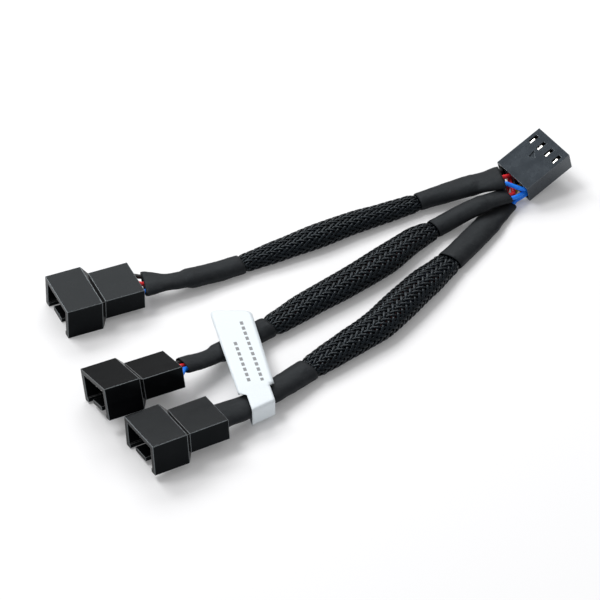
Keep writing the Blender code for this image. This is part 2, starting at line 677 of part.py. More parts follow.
def make_loop(name, branch):
    """The loop: its section leans with the flag, and it runs along the tube, a little askew."""
    centre = Vector((*LOOP_CENTRE, 0.0))
    nearest = min(branch.marks, key=lambda mark: (branch.at(mark).xy - centre.xy).length)
    _, across, _ = branch.frame(nearest)
    tube_way = Euler((0.0, 0.0, LOOP_SKEW)).to_matrix() @ Vector((across.y, -across.x, 0.0))
    flag_way = Vector(FLAG_FAR_LEFT) - Vector(FLAG_NEAR_LEFT)
    flag_way = Vector((*flag_way.normalized(), 0.0))
    lean = flag_way / flag_way.dot(across)
    top = FLAG_UNDERSIDE + LABEL_THICKNESS
    wall = LABEL_THICKNESS
    outside = [(LOOP_REACH, top), (LOOP_SHOULDER - LOOP_REACH, top), (-LOOP_REACH, top - LOOP_SHOULDER),
               (-LOOP_REACH, LOOP_FLOOR), (LOOP_REACH, LOOP_FLOOR)]
    inside = [(LOOP_REACH - wall, top - wall), (LOOP_SHOULDER - LOOP_REACH, top - wall),
              (wall - LOOP_REACH, top - LOOP_SHOULDER), (wall - LOOP_REACH, LOOP_FLOOR + wall),
              (LOOP_REACH - wall, LOOP_FLOOR + wall)]
    rings = []
    for section, side in ((outside, -1), (outside, 1), (inside, 1), (inside, -1)):
        middle = centre + tube_way * (side * LOOP_WIDTH / 2)
        rings.append([middle + lean * reach + Vector((0.0, 0.0, height)) for reach, height in section])
    bm = bmesh.new()
    skin(bm, rings, closed=True)
    return add_object(name, mesh_of(bm, name))


def main():
    clear_scene()
    make_socket_housing()
    for circuit in CIRCUITS:
        make_socket_terminal(circuit)
    for number, plan in BRANCHES.items():
        branch = Branch(number, plan)
        make_plug_housing(number)
        make_sleeve(branch)
        make_shrink_tubes(branch)
        for circuit in branch.circuits:
            make_plug_pin(number, circuit)
            make_wire(branch, circuit)
        if "speed" in branch.circuits:
            make_label(branch)
    bpy.context.view_layer.update()


main()
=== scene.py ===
"""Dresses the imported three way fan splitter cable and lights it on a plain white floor.

Laid out as an add-on: one operator makes each group of pieces, and the panel lists them. Distances are in
metres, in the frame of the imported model: +X runs from the plugs towards the socket's mating end and Z is up.
A connector's own frame has X from its mating end to its wires, Y across its circuits and Z up.
"""

import json
import math

import bmesh
import bpy
from bpy.props import FloatProperty, FloatVectorProperty, IntProperty, PointerProperty
from bpy.types import Operator, Panel, PropertyGroup
from mathutils import Euler, Matrix, Vector, noise

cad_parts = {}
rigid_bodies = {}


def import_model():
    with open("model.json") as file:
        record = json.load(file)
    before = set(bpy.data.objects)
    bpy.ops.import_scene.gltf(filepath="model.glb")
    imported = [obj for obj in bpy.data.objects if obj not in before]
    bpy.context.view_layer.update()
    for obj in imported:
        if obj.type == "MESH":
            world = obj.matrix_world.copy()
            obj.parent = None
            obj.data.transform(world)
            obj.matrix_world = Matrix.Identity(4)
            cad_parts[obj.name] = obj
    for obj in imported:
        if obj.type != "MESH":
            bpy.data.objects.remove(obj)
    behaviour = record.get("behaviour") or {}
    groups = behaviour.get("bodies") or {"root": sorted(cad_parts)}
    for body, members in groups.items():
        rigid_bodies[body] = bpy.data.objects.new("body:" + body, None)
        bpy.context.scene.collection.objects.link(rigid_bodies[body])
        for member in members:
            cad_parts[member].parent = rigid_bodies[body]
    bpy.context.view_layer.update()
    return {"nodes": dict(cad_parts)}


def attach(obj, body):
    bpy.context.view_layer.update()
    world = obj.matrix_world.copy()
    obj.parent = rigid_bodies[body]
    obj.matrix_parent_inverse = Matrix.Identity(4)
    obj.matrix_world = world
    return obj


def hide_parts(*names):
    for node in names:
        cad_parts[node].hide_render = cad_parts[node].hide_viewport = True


bl_info = {
    "name": "Fan Splitter Cable",
    "version": (1, 0, 0),
    "blender": (4, 5, 0),
    "location": "View3D > Sidebar > Fan Cable",
    "description": "Braided sleeves, heat shrink tubes, connectors and label of a fan splitter cable",
    "category": "Add Mesh",
}

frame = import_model()

BODY = "root"
CIRCUITS = ("ground", "supply", "speed", "control")
PITCH = 0.00254
WIRE_DIAMETER = 0.001
WIRE_PITCH = 0.0011
FIT_GAP = 0.0003
SLIDE_GAP = 0.0002
CUT_OVERRUN = 0.001
MM_PER_METRE = 1000.0

# Where each connector's mating end lies, and how it is turned
SOCKET_PLACE = ((0.065754, -0.0001, 0.004678), (math.radians(-8.5), math.radians(18.5), math.radians(180.0)))
PLUG_PLACES = {
    1: ((-0.052492, 0.024595, 0.0), (0.0, 0.0, math.radians(-13.5))),
    2: ((-0.063612, -0.006239, 0.002033), (math.radians(-18.0), 0.0, math.radians(-11.0))),
    3: ((-0.064607, -0.023244, 0.000802), (math.radians(-7.0), 0.0, math.radians(-8.3))),
}

# Socket, in its own frame
SOCKET_LENGTH = 0.0125
SOCKET_WIDTH = 4 * PITCH
SOCKET_HEIGHT = 0.0049
SOCKET_SKIN = 0.0006
SOCKET_FACE = 0.001
SOCKET_AXIS = SOCKET_HEIGHT / 2
CELL_RIB = 0.0005
SOCKET_CELL = (PITCH - CELL_RIB, SOCKET_HEIGHT - 2 * SOCKET_SKIN)
PIN_ENTRY = 0.0011
WINDOW_SIZE = (0.0023, 0.0009)
WINDOW_CENTRE = 0.0028
RIB_SIZE = (0.0072, 0.0009, 0.0009)
RIB_SETBACK = 0.0003
TERMINAL_START = SOCKET_FACE + FIT_GAP
CONTACT_SIZE = (0.0046, 0.0015, 0.0022)
TERMINAL_END = 0.0074
CRIMP_SIZE = (0.0009, 0.0013, 0.0031)
NECK_SIDE = 0.0008
SOLID_OVERLAP = 0.0001
LATCH_DEPTH = 0.00025
LATCH_WALL = 0.00015
LATCH_WIDTH = 0.00042
LATCH_START = 0.0003
LATCH_GAP = 0.0001
LATCH_FALL = 0.00018
STAMPED_EDGE = 0.00005
RECESS_CORNERS = ((0.0047, -0.0015), (0.0066, -0.0012), (0.0058, 0.0001))

# Plug, in its own frame
SHROUD_INSIDE = (SOCKET_WIDTH + 2 * SLIDE_GAP, SOCKET_HEIGHT + 2 * SLIDE_GAP)
SHROUD_SKIN = 0.001
SHROUD_WALL = 0.0013
SHROUD_SIZE = (SHROUD_INSIDE[0] + 2 * SHROUD_WALL, SHROUD_INSIDE[1] + 2 * SHROUD_SKIN)
SHROUD_DEPTH = 0.0081
CORE_START = 0.0093
CORE_LENGTH = 0.0091
CORE_SIZE = (0.0103, 0.0049)
CORE_LIFT = 0.0013
PLUG_LENGTH = CORE_START + CORE_LENGTH
PLUG_AXIS = SHROUD_SIZE[1] / 2
TONGUE_WIDTH = 0.0046
TONGUE_SETBACK = 0.0006
PLUG_CELL = (0.0017, 0.0022)
MOUTH_WALL = 0.00024
MOUTH_SIZE = (PITCH - MOUTH_WALL, 0.0028)
MOUTH_DEPTH = 0.0014
PIN_SEAT = 0.005
PIN_END = SHROUD_DEPTH + FIT_GAP + PIN_SEAT
RIB_OFFSET = TONGUE_WIDTH / 2 + SLIDE_GAP + RIB_SIZE[1] / 2

# Moulded and stamped pieces: how their meshes are cleaned and their edges rounded
MERGE_DISTANCE = 0.000002
FLAT_ANGLE = math.radians(1.0)
EDGE_ANGLE = math.radians(25.0)
EDGE_SEGMENTS = 3
FACE_TOLERANCE = 1e-6

# Sections of the sleeves and tubes
SECTION_POWER = 2.3
SECTION_SIDES = 64
SLEEVE_UNDER_TUBE = 0.0007
RIM_GAP = 0.00025
RIM_RUN = 0.003
RING_STEP = 0.0042
BEND_STEP = 0.0009

# Yarns: the steepest lean is a sine, the lift and the core's gap are in yarn thicknesses, and the sway is a
# share of the way round the sleeve
YARN_STEP = 0.00025
YARN_SIDES = 6
STEEPEST_LEAN = 0.95
FLOAT_FLATNESS = 1.9
FLOAT_LIFT = 0.55
SWAY = 0.004
SWAY_TURN = 40
SWAY_SEED = (7.3, 3.1, 0.5)
YARN_MAP_EDGE = 0.02
BRAID_CORE_GAP = 4.4
BRAID_CORE_STEP = 0.001
BRAID_CORE_SIDES = 32

# Tubes: the ripples are waves per metre, the finer ones at a share of the coarse ones' height
TUBE_STEP = 0.0005
TUBE_SIDES = 56
LIP_SHARE = 0.3
RIPPLE = 420
FINE_RIPPLE = 1300
FINE_RIPPLE_SHARE = 0.5

# Wires
LEAD_STEP = 0.0003
LEAD_ROUNDNESS = 4
WIRE_COLOURS = {
    "ground": ("wire_black", (0.008, 0.008, 0.009)),
    "supply": ("wire_red", (0.78, 0.012, 0.020)),
    "speed": ("wire_yellow", (0.66, 0.40, 0.008)),
    "control": ("wire_blue", (0.0, 0.21, 0.95)),
}
CORD_STEP = 0.001

# Branches: the route's points, then width and thickness of each layer by distance along the route. The plug
# tube's distances are counted back from the end of the route. A flare reaches beyond that end, and its rim
# lies along the plug's face.
BRANCHES = {
    1: {
        "circuits": ("ground", "supply", "control"),
        "route": (
            (0.0506, 0.0006, 0.0047), (0.0481, 0.0017, 0.0043), (0.0454, 0.0033, 0.0036),
            (0.0390, 0.0059, 0.0025), (0.0324, 0.0077, 0.0019), (0.0244, 0.0092, 0.0018),
            (0.0168, 0.0105, 0.0020), (0.0077, 0.0115, 0.0021), (-0.0018, 0.01275, 0.00195),
            (-0.0107, 0.0141, 0.00175), (-0.0185, 0.0155, 0.0020), (-0.0252, 0.0166, 0.0029),
            (-0.0283, 0.0174, 0.0033), (-0.03315, 0.0197, 0.0037),
        ),
        "socket_tube": (
            (0.0, 0.0074, 0.0023), (0.0052, 0.0062, 0.0023), (0.0068, 0.0060, 0.0029),
            (0.0196, 0.0047, 0.0031),
        ),
        "sleeve": (
            (0.0212, 0.0050, 0.0032), (0.0278, 0.0056, 0.0033), (0.0355, 0.0062, 0.0036),
            (0.0447, 0.0067, 0.0038), (0.0542, 0.0059, 0.0035), (0.0618, 0.0050, 0.0032),
        ),
        "plug_tube": (
            (0.0230, 0.0054, 0.0031), (0.0105, 0.0055, 0.0031), (0.0088, 0.0049, 0.0024),
            (0.0060, 0.0047, 0.0022), (0.0, 0.0079, 0.0020),
        ),
        "flare": (),
        "pitches": (0.0023, 0.0025),
        "mouth_lean": 0.00025,
        "socket_leads": (0.0004, 0.0004, 0.0003),
        "plug_leads": (0.0003, 0.0003, 0.0003),
    },
    2: {
        "circuits": ("ground", "supply", "control"),
        "route": (
            (0.0490, -0.0034, 0.0029), (0.0447, -0.0030, 0.0034), (0.0392, -0.0024, 0.0031),
            (0.0298, -0.0017, 0.0018), (0.0242, -0.0021, 0.0021), (0.0133, -0.0042, 0.00235),
            (0.0029, -0.0052, 0.0023), (-0.0081, -0.0057, 0.0022), (-0.0164, -0.0064, 0.00205),
            (-0.0215, -0.0067, 0.0023), (-0.0270, -0.0073, 0.0027), (-0.0328, -0.0079, 0.0031),
            (-0.0380, -0.0087, 0.0043), (-0.0433, -0.0087, 0.0055),
        ),
        "socket_tube": (
            (0.0, 0.0045, 0.0019), (0.0050, 0.0046, 0.0020), (0.0068, 0.0049, 0.0026),
            (0.0195, 0.0049, 0.0031),
        ),
        "sleeve": (
            (0.0212, 0.0056, 0.0034), (0.0255, 0.0065, 0.0038), (0.0365, 0.0078, 0.0043),
            (0.0470, 0.0075, 0.0042), (0.0580, 0.0070, 0.0040), (0.0664, 0.0061, 0.0036),
        ),
        "plug_tube": (
            (0.0246, 0.0057, 0.0032), (0.0106, 0.0053, 0.0029), (0.0086, 0.0046, 0.0022),
            (0.0, 0.0050, 0.0022),
        ),
        "flare": (),
        "pitches": (0.0012, 0.0012),
        "mouth_lean": 0.00025,
        "socket_leads": (0.0002, 0.0016, 0.0016),
        "plug_leads": (0.0003, 0.0008, 0.0003),
    },
    3: {
        "circuits": ("ground", "supply", "speed", "control"),
        "route": (
            (0.0484, -0.0032, 0.00095), (0.0447, -0.0050, 0.0011), (0.0404, -0.0071, 0.00138),
            (0.0328, -0.0100, 0.0016), (0.0248, -0.0127, 0.0018), (0.0149, -0.0157, 0.0023),
            (0.0063, -0.01845, 0.0024), (-0.0003, -0.0204, 0.0024), (-0.0073, -0.0212, 0.0023),
            (-0.0139, -0.0219, 0.0022), (-0.0213, -0.0228, 0.0022), (-0.0304, -0.0243, 0.0029),
            (-0.0390, -0.02545, 0.0035), (-0.0450, -0.02548, 0.0044),
        ),
        "socket_tube": (
            (0.0, 0.0061, 0.00185), (0.0068, 0.0058, 0.0020), (0.0088, 0.0061, 0.0025),
            (0.0245, 0.0061, 0.0032),
        ),
        "sleeve": (
            (0.0262, 0.0065, 0.0036), (0.0350, 0.0080, 0.0042), (0.0442, 0.0084, 0.0044),
            (0.0512, 0.0083, 0.0044), (0.0580, 0.0077, 0.0042), (0.0645, 0.0070, 0.0040),
            (0.0700, 0.0063, 0.0036),
        ),
        "plug_tube": (
            (0.0248, 0.0061, 0.0032), (0.0138, 0.0060, 0.0030), (0.0120, 0.0057, 0.0026),
            (0.0, 0.0072, 0.0025),
        ),
        "flare": ((0.0006, 0.0083, 0.0027),),
        "pitches": (0.00118, 0.0014),
        "mouth_lean": 0.0005,
        "socket_leads": (0.0003, 0.0012, 0.0017, 0.0019),
        "plug_leads": (0.0002, 0.0006, 0.0006, 0.0002),
    },
}

# Label: left and right as seen along the flag from its loop
FLAG_NEAR = ((-0.03905, -0.0229), (-0.0311, -0.0247))
FLAG_FAR = ((-0.0282, 0.0024), (-0.0210, -0.0030))
FLAG_UNDERSIDE = 0.0051
FLAG_TOP = 0.0054
FLAG_CORNER = 0.0016
LOOP_CENTRE = (-0.0353, -0.0250)
LOOP_WIDTH = 0.0058
LOOP_SKEW = math.radians(-10.0)
LABEL_BRANCH = 3
LABEL_COLUMNS = 12
CORNER_STEP = 0.0002
FLAG_STEP = 0.0012
LOOP_STEP = 0.3

# The loop around the tube, in millimetres: how far along the flag's way, and the height
LOOP_SECTION = (
    (0.6, 5.38), (-1.2, 5.37), (-2.9, 5.35), (-3.45, 5.28), (-3.62, 5.0), (-3.70, 3.9), (-3.74, 2.4),
    (-3.72, 1.35), (-3.5, 1.08), (-2.9, 1.02), (-0.5, 1.0), (2.4, 1.02), (3.2, 1.2), (3.55, 1.9),
    (3.66, 3.4), (3.7, 4.5), (3.95, 4.98), (4.8, 5.1),
)

# Rows of dashes on the flag: which way they run, then each row's place across, its start and its end
ROW_WAY = (-0.3927, -0.9197)
DASH_ROWS = ((0.02107, 0.0140, 0.0336), (0.02386, 0.0202, 0.0337))
DASH_LENGTH = 0.0011
DASH_PITCH = 0.0017
DASH_HEIGHT = 0.0007

# Colours that several materials share
BLACK = (0.0, 0.0, 0.0)
WHITE = (1.0, 1.0, 1.0)
# COLD tints the reflections of yarns, tubes and nylon blue: painted cool light.
COLD = (0.78, 0.92, 1.0)

# Stage: each lamp's place and its size
CAMERA_PLACE = (-0.50095, -0.65735, 0.7014)
CAMERA_TARGET = (-0.00675, -0.00145, 0.0)
CAMERA_RANGE = (0.05, 20.0)
SENSOR_WIDTH = 36.0
FLOOR_SIZE = 6.0
FLOOR_WHITE = (0.87, 0.87, 0.88)
FLOOR_GLOW = 0.12
FLOOR_NEAR = 0.09
FLOOR_FAR = 0.26
LAMPS = {
    "key": ((-0.08, 0.60, 0.62), (0.28, 0.28)),
    "back": ((0.42, 0.68, 0.72), (0.62, 0.42)),
    "top": ((-0.35, 0.38, 0.96), (0.36, 0.36)),
}


class CableBraidSettings(PropertyGroup):
    yarns: IntProperty(
        name="Yarns each way", description="Yarns that wind each way round a sleeve, a multiple of four",
        default=16, min=8, max=48, step=4)
    angle: FloatProperty(
        name="Braid angle", description="Angle between a yarn and the sleeve where the sleeve is fullest",
        default=math.radians(38.0), subtype="ANGLE")
    girth: FloatProperty(
        name="Full girth", description="Distance around the sleeve at which the yarns have that angle",
        default=0.0205, unit="LENGTH", precision=5)
    thickness: FloatProperty(
        name="Yarn thickness", description="Thickness of one flat yarn", default=0.00023, unit="LENGTH",
        precision=5)
    cover: FloatProperty(
        name="Cover", description="Share of its lane that a yarn fills", default=0.68, min=0.4, max=1.0,
        subtype="FACTOR")
    colour: FloatVectorProperty(
        name="Yarn colour", description="Colour of the braid's yarns", default=(0.002, 0.003, 0.005),
        size=3, subtype="COLOR", min=0.0, max=1.0)


class CableTubeSettings(PropertyGroup):
    wall: FloatProperty(
        name="Wall", description="Wall of a heat shrink tube", default=0.00025, unit="LENGTH", precision=5)
    wrinkle: FloatProperty(
        name="Wrinkle", description="Height of the tubes' soft wrinkles", default=0.00009, unit="LENGTH",
        precision=5)
    colour: FloatVectorProperty(
        name="Tube colour", description="Colour of the heat shrink", default=(0.0045, 0.0055, 0.0075),
        size=3, subtype="COLOR", min=0.0, max=1.0)


class CableHousingSettings(PropertyGroup):
    edge: FloatProperty(
        name="Edge round", description="Radius of the housings' moulded edges", default=0.00022,
        unit="LENGTH", precision=5)
    plug_colour: FloatVectorProperty(
        name="Plug colour", description="Colour of the three plugs", default=(0.002, 0.0024, 0.003),
        size=3, subtype="COLOR", min=0.0, max=1.0)
    socket_colour: FloatVectorProperty(
        name="Socket colour", description="Colour of the socket", default=(0.015, 0.019, 0.027),
        size=3, subtype="COLOR", min=0.0, max=1.0)


class CableLabelSettings(PropertyGroup):
    thickness: FloatProperty(
        name="Layer thickness", description="Thickness of one layer of the label", default=0.00011,
        unit="LENGTH", precision=5)
    colour: FloatVectorProperty(
        name="Label colour", description="Colour of the label's face", default=(0.69, 0.75, 0.79),
        size=3, subtype="COLOR", min=0.0, max=1.0)


class CableStageSettings(PropertyGroup):
    lens: FloatProperty(
        name="Lens", description="Focal length of the camera", default=300.0, unit="CAMERA")
    key_power: FloatProperty(
        name="Key power", description="Power of the small lamp behind the cable", default=2.2, unit="POWER")
    back_power: FloatProperty(
        name="Back power", description="Power of the wide lamp that the tops mirror", default=4.4,
        unit="POWER")
    top_power: FloatProperty(
        name="Top power", description="Power of the lamp above", default=4.2, unit="POWER")
    sky: FloatProperty(
        name="Sky", description="Strength of the even light from all round", default=0.48, min=0.0)


class Value:
    """A node's output, so that shader arithmetic reads as plain expressions."""

    def __init__(self, finish, output):
        self.finish = finish
        self.output = output

    def apply(self, operation, first, second):
        return self.finish.node("ShaderNodeMath", {"operation": operation}, {0: first, 1: second})

    def __add__(self, other):
        return self.apply("ADD", self, other)

    def __sub__(self, other):
        return self.apply("SUBTRACT", self, other)

    def __rsub__(self, other):
        return self.apply("SUBTRACT", other, self)

    def __mul__(self, other):
        return self.apply("MULTIPLY", self, other)

    def __mod__(self, other):
        return self.apply("FLOORED_MODULO", self, other)

    def __gt__(self, other):
        return self.apply("GREATER_THAN", self, other)

    def __lt__(self, other):
        return self.apply("LESS_THAN", self, other)

    def __abs__(self):
        return self.apply("ABSOLUTE", self, 0.0)

    __radd__ = __add__
    __rmul__ = __mul__


class Graph:
    """A node tree, built node by node."""

    def __init__(self, tree):
        self.tree = tree
        self.tree.nodes.clear()

    def node(self, kind, settings=(), sockets=(), output=0):
        """A node of that kind, its settings made first and then its sockets given values or links."""
        made = self.tree.nodes.new(kind)
        for field, value in dict(settings).items():
            if field == "stops":
                self.set_stops(made.color_ramp, value)
            else:
                setattr(made, field, value)
        for key, value in dict(sockets).items():
            self.feed(made.inputs[key], value)
        return Value(self, made.outputs[output]) if made.outputs else None

    def set_stops(self, ramp, stops):
        while len(ramp.elements) < len(stops):
            ramp.elements.new(1.0)
        for element, (position, colour) in zip(ramp.elements, stops):
            element.position = position
            element.color = (*colour, 1.0)

    def feed(self, socket, value):
        if isinstance(value, Value):
            self.tree.links.new(value.output, socket)
        elif socket.type == "RGBA":
            socket.default_value = (*value, 1.0)
        else:
            socket.default_value = value

    def rays(self, *kinds):
        """One where a ray of any of those kinds looks, else zero."""
        total = 0.0
        for kind in kinds:
            total = self.node("ShaderNodeLightPath", output=kind) + total
        return self.node("ShaderNodeMath", {"operation": "MINIMUM"}, {0: total, 1: 1.0})


class Finish(Graph):
    """A procedural material."""

    def __init__(self, name):
        self.material = bpy.data.materials.new(name)
        self.material.use_nodes = True
        super().__init__(self.material.node_tree)

    def place(self, scale=(1.0, 1.0, 1.0)):
        """Object coordinates, in metres, scaled."""
        spot = self.node("ShaderNodeTexCoord", output="Object")
        return self.node("ShaderNodeMapping", {}, {"Vector": spot, "Scale": scale})

    def grain(self, size, detail=3.0, roughness=0.55, place=None):
        """Noise whose blotches are about size metres across, from 0 to 1."""
        place = place or self.place()
        return self.node("ShaderNodeTexNoise", {}, {
            "Vector": place, "Scale": 1.0 / size, "Detail": detail, "Roughness": roughness})

    def along(self):
        """The piece's own map: first across, second along."""
        spot = self.node("ShaderNodeTexCoord", output="UV")
        return [self.node("ShaderNodeSeparateXYZ", {}, {0: spot}, output=axis) for axis in ("X", "Y")]

    def ramp(self, value, *stops):
        return self.node("ShaderNodeValToRGB", {"stops": stops}, {0: value})

    def fade(self, value, low, high, start=0.0, end=1.0):
        """Value taken from low..high to start..end, and held at either end."""
        return self.node("ShaderNodeMapRange", {}, {
            "Value": value, "From Min": low, "From Max": high, "To Min": start, "To Max": end})

    def blend(self, share, first, second):
        """One colour going over to another."""
        return self.node("ShaderNodeMix", {"data_type": "RGBA"}, {0: share, 6: first, 7: second}, output=2)

    def tones(self, share, colour, darker, lighter):
        """The colour, from a darker tone of it over to a lighter one."""
        return self.blend(share, mixed(colour, darker, BLACK), mixed(colour, lighter))

    def sheen(self, pattern, low, high):
        """Roughness from low to high across the middle of a pattern."""
        return self.fade(pattern, 0.3, 0.7, low, high)

    def relief(self, height, depth, strength=1.0, over=None):
        sockets = {"Height": height, "Distance": depth, "Strength": strength}
        if over:
            sockets["Normal"] = over
        return self.node("ShaderNodeBump", {}, sockets)

    def shade(self, **sockets):
        """Ends the material in a Principled shader, with its sockets named by their words."""
        named = {word.replace("_", " ").title().replace("Ior", "IOR"): value
                 for word, value in sockets.items()}
        surface = self.node("ShaderNodeBsdfPrincipled", {}, named)
        self.node("ShaderNodeOutputMaterial", {}, {"Surface": surface})
        return self.material


def mixed(colour, share, other=WHITE):
    """A colour taken part of the way to another."""
    return tuple(first + (second - first) * share for first, second in zip(colour, other))


def yarn_finish(colour):
    """Glossy black monofilament yarn: fine filaments along each yarn, each yarn a shade of its own."""
    finish = Finish("braid_yarn")
    across, length = finish.along()
    filament = finish.node("ShaderNodeMath", {"operation": "PINGPONG"}, {0: across * 3.0, 1: 0.5})
    wander = finish.grain(0.0004)
    shade = finish.node("ShaderNodeTexWhiteNoise", {"noise_dimensions": "1D"}, {
        "W": finish.node("ShaderNodeMath", {"operation": "FLOOR"}, {0: across})})
    base = finish.blend(shade * 0.6 + wander * 0.4, mixed(colour, 0.7, BLACK),
                        mixed(colour, 0.006, (0.6, 0.8, 1.0)))
    bump = finish.relief(filament, 0.00006, 0.6)
    return finish.shade(base_color=base, roughness=finish.sheen(wander, 0.16, 0.30), normal=bump,
                        specular_ior_level=0.21, specular_tint=COLD)


def core_finish():
    """What shows between the yarns: red and blue wires in deep shade."""
    finish = Finish("braid_core")
    wander = finish.grain(0.0009)
    # The wires' red and blue, painted near black as deep shade.
    wires = finish.ramp(finish.grain(0.0045, 1.0, place=finish.place((0.35, 1.0, 1.0))),
                        (0.40, (0.003, 0.008, 0.045)), (0.47, (0.001, 0.001, 0.001)),
                        (0.53, (0.001, 0.001, 0.001)), (0.60, (0.050, 0.003, 0.003)))
    base = finish.blend(wander * 0.6, wires, (0.001, 0.001, 0.001))
    return finish.shade(base_color=base, roughness=finish.fade(wander, 0.2, 0.8, 0.6, 0.9),
                        specular_ior_level=0.2)


def shrink_finish(colour):
    """Matte polyolefin: cloudy, with faint scuffs along the tube."""
    finish = Finish("heat_shrink_black")
    cloud = finish.grain(0.0035)
    fine = finish.grain(0.00012, 2.0)
    scuff = finish.fade(finish.grain(0.0006, 4.0), 0.58, 0.72)
    base = finish.tones(cloud * 0.7 + scuff * 0.3, colour, 0.35, 0.025)
    rough = finish.sheen(cloud, 0.46, 0.60) + scuff * 0.08
    bump = finish.relief(fine, 0.00001, 0.4, over=finish.relief(finish.grain(0.0012), 0.00006, 0.5))
    return finish.shade(base_color=base, roughness=rough, normal=bump, specular_ior_level=0.13,
                        specular_tint=COLD)


def nylon_finish(name, colour, gloss, shine):
    """Moulded nylon: an even body with faint flow marks, fine sink texture and a few handling scuffs."""
    finish = Finish(name)
    flow = finish.grain(0.003, 2.0)
    fine = finish.grain(0.00009, 2.0)
    scuff = finish.fade(finish.grain(0.0005, 5.0, 0.65), 0.62, 0.74)
    base = finish.tones(flow * 0.8 + scuff * 0.2, colour, 0.25, 0.004)
    rough = finish.sheen(flow, gloss, gloss + 0.08) + scuff * 0.04
    bump = finish.relief(fine, 0.000005, 0.4, over=finish.relief(flow, 0.00004, 0.2))
    return finish.shade(base_color=base, roughness=rough, normal=bump, specular_ior_level=shine,
                        specular_tint=COLD)


def insulation_finish(name, colour):
    """Smooth PVC insulation with a slight mottle."""
    finish = Finish(name)
    mottle = finish.grain(0.0008)
    bump = finish.relief(finish.grain(0.00025), 0.00001, 0.4)
    return finish.shade(base_color=finish.tones(mottle, colour, 0.18, 0.04),
                        roughness=finish.sheen(mottle, 0.2, 0.32), normal=bump, specular_ior_level=0.12)


def tin_finish():
    """Tin plated brass: bright, slightly streaked from stamping."""
    finish = Finish("tinned_brass")
    streak = finish.grain(0.0003, 3.0, 0.5, finish.place((0.15, 1.0, 1.0)))
    base = finish.blend(streak, (0.58, 0.55, 0.50), (0.82, 0.81, 0.78))
    bump = finish.relief(streak, 0.00001, 0.5)
    return finish.shade(base_color=base, metallic=1.0, roughness=finish.sheen(streak, 0.22, 0.40),
                        normal=bump)


def label_finish(colour):
    """Satin white label stock with two rows of plain short dashes on its upper face."""
    finish = Finish("label_stock")
    spot = finish.node("ShaderNodeTexCoord", output="Object")
    x, y, z = (finish.node("ShaderNodeSeparateXYZ", {}, {0: spot}, output=axis) for axis in "XYZ")
    length, across = x * ROW_WAY[0] + y * ROW_WAY[1], x * ROW_WAY[1] - y * ROW_WAY[0]
    fibre = finish.grain(0.0004, 4.0)
    ink = 0.0
    for middle, start, end in DASH_ROWS:
        row = (abs(across - middle) < DASH_HEIGHT / 2) * (length > start) * (length < end)
        ink = ink + row * ((length - start) % DASH_PITCH < DASH_LENGTH) * (z > FLAG_TOP)
    base = finish.blend(ink, finish.tones(fibre, colour, 0.05, 0.12), (0.17, 0.18, 0.19))
    bump = finish.relief(fibre, 0.00001, 0.4)
    return finish.shade(base_color=base, roughness=finish.sheen(fibre, 0.34, 0.46), normal=bump,
                        specular_ior_level=0.4)


def smooth_path(points, step, skip_first=0, skip_last=0):
    """Points a small step apart on a centripetal Catmull-Rom curve, less some of its spans at either end."""
    points = [Vector(point) for point in points]
    points = [2 * points[0] - points[1], *points, 2 * points[-1] - points[-2]]
    spans = list(zip(points, points[1:], points[2:], points[3:]))
    spans = spans[skip_first:len(spans) - skip_last]
    path = [spans[0][1]]
    for corners in spans:
        knots = [0.0]
        for first, second in zip(corners, corners[1:]):
            knots.append(knots[-1] + math.sqrt((second - first).length))
        count = max(1, round((corners[2] - corners[1]).length / step))
        for k in range(1, count + 1):
            path.append(catmull_point(corners, knots, knots[1] + (knots[2] - knots[1]) * k / count))
    return path


def catmull_point(corners, knots, t):
    """The point at t between the second and third corners."""
    lines = [corners[k].lerp(corners[k + 1], (t - knots[k]) / (knots[k + 1] - knots[k])) for k in range(3)]
    bends = [lines[k].lerp(lines[k + 1], (t - knots[k]) / (knots[k + 2] - knots[k])) for k in range(2)]
    return bends[0].lerp(bends[1], (t - knots[1]) / (knots[2] - knots[1]))


def eased(stations, distance):
    """The sizes at a distance, eased between the stations around it."""
    if distance <= stations[0][0]:
        return stations[0][1:]
    for (start, *before), (end, *after) in zip(stations, stations[1:]):
        if distance <= end:
            share = (distance - start) / (end - start)
            share = share * share * (3 - 2 * share)
            return [low + (high - low) * share for low, high in zip(before, after)]
    return stations[-1][1:]


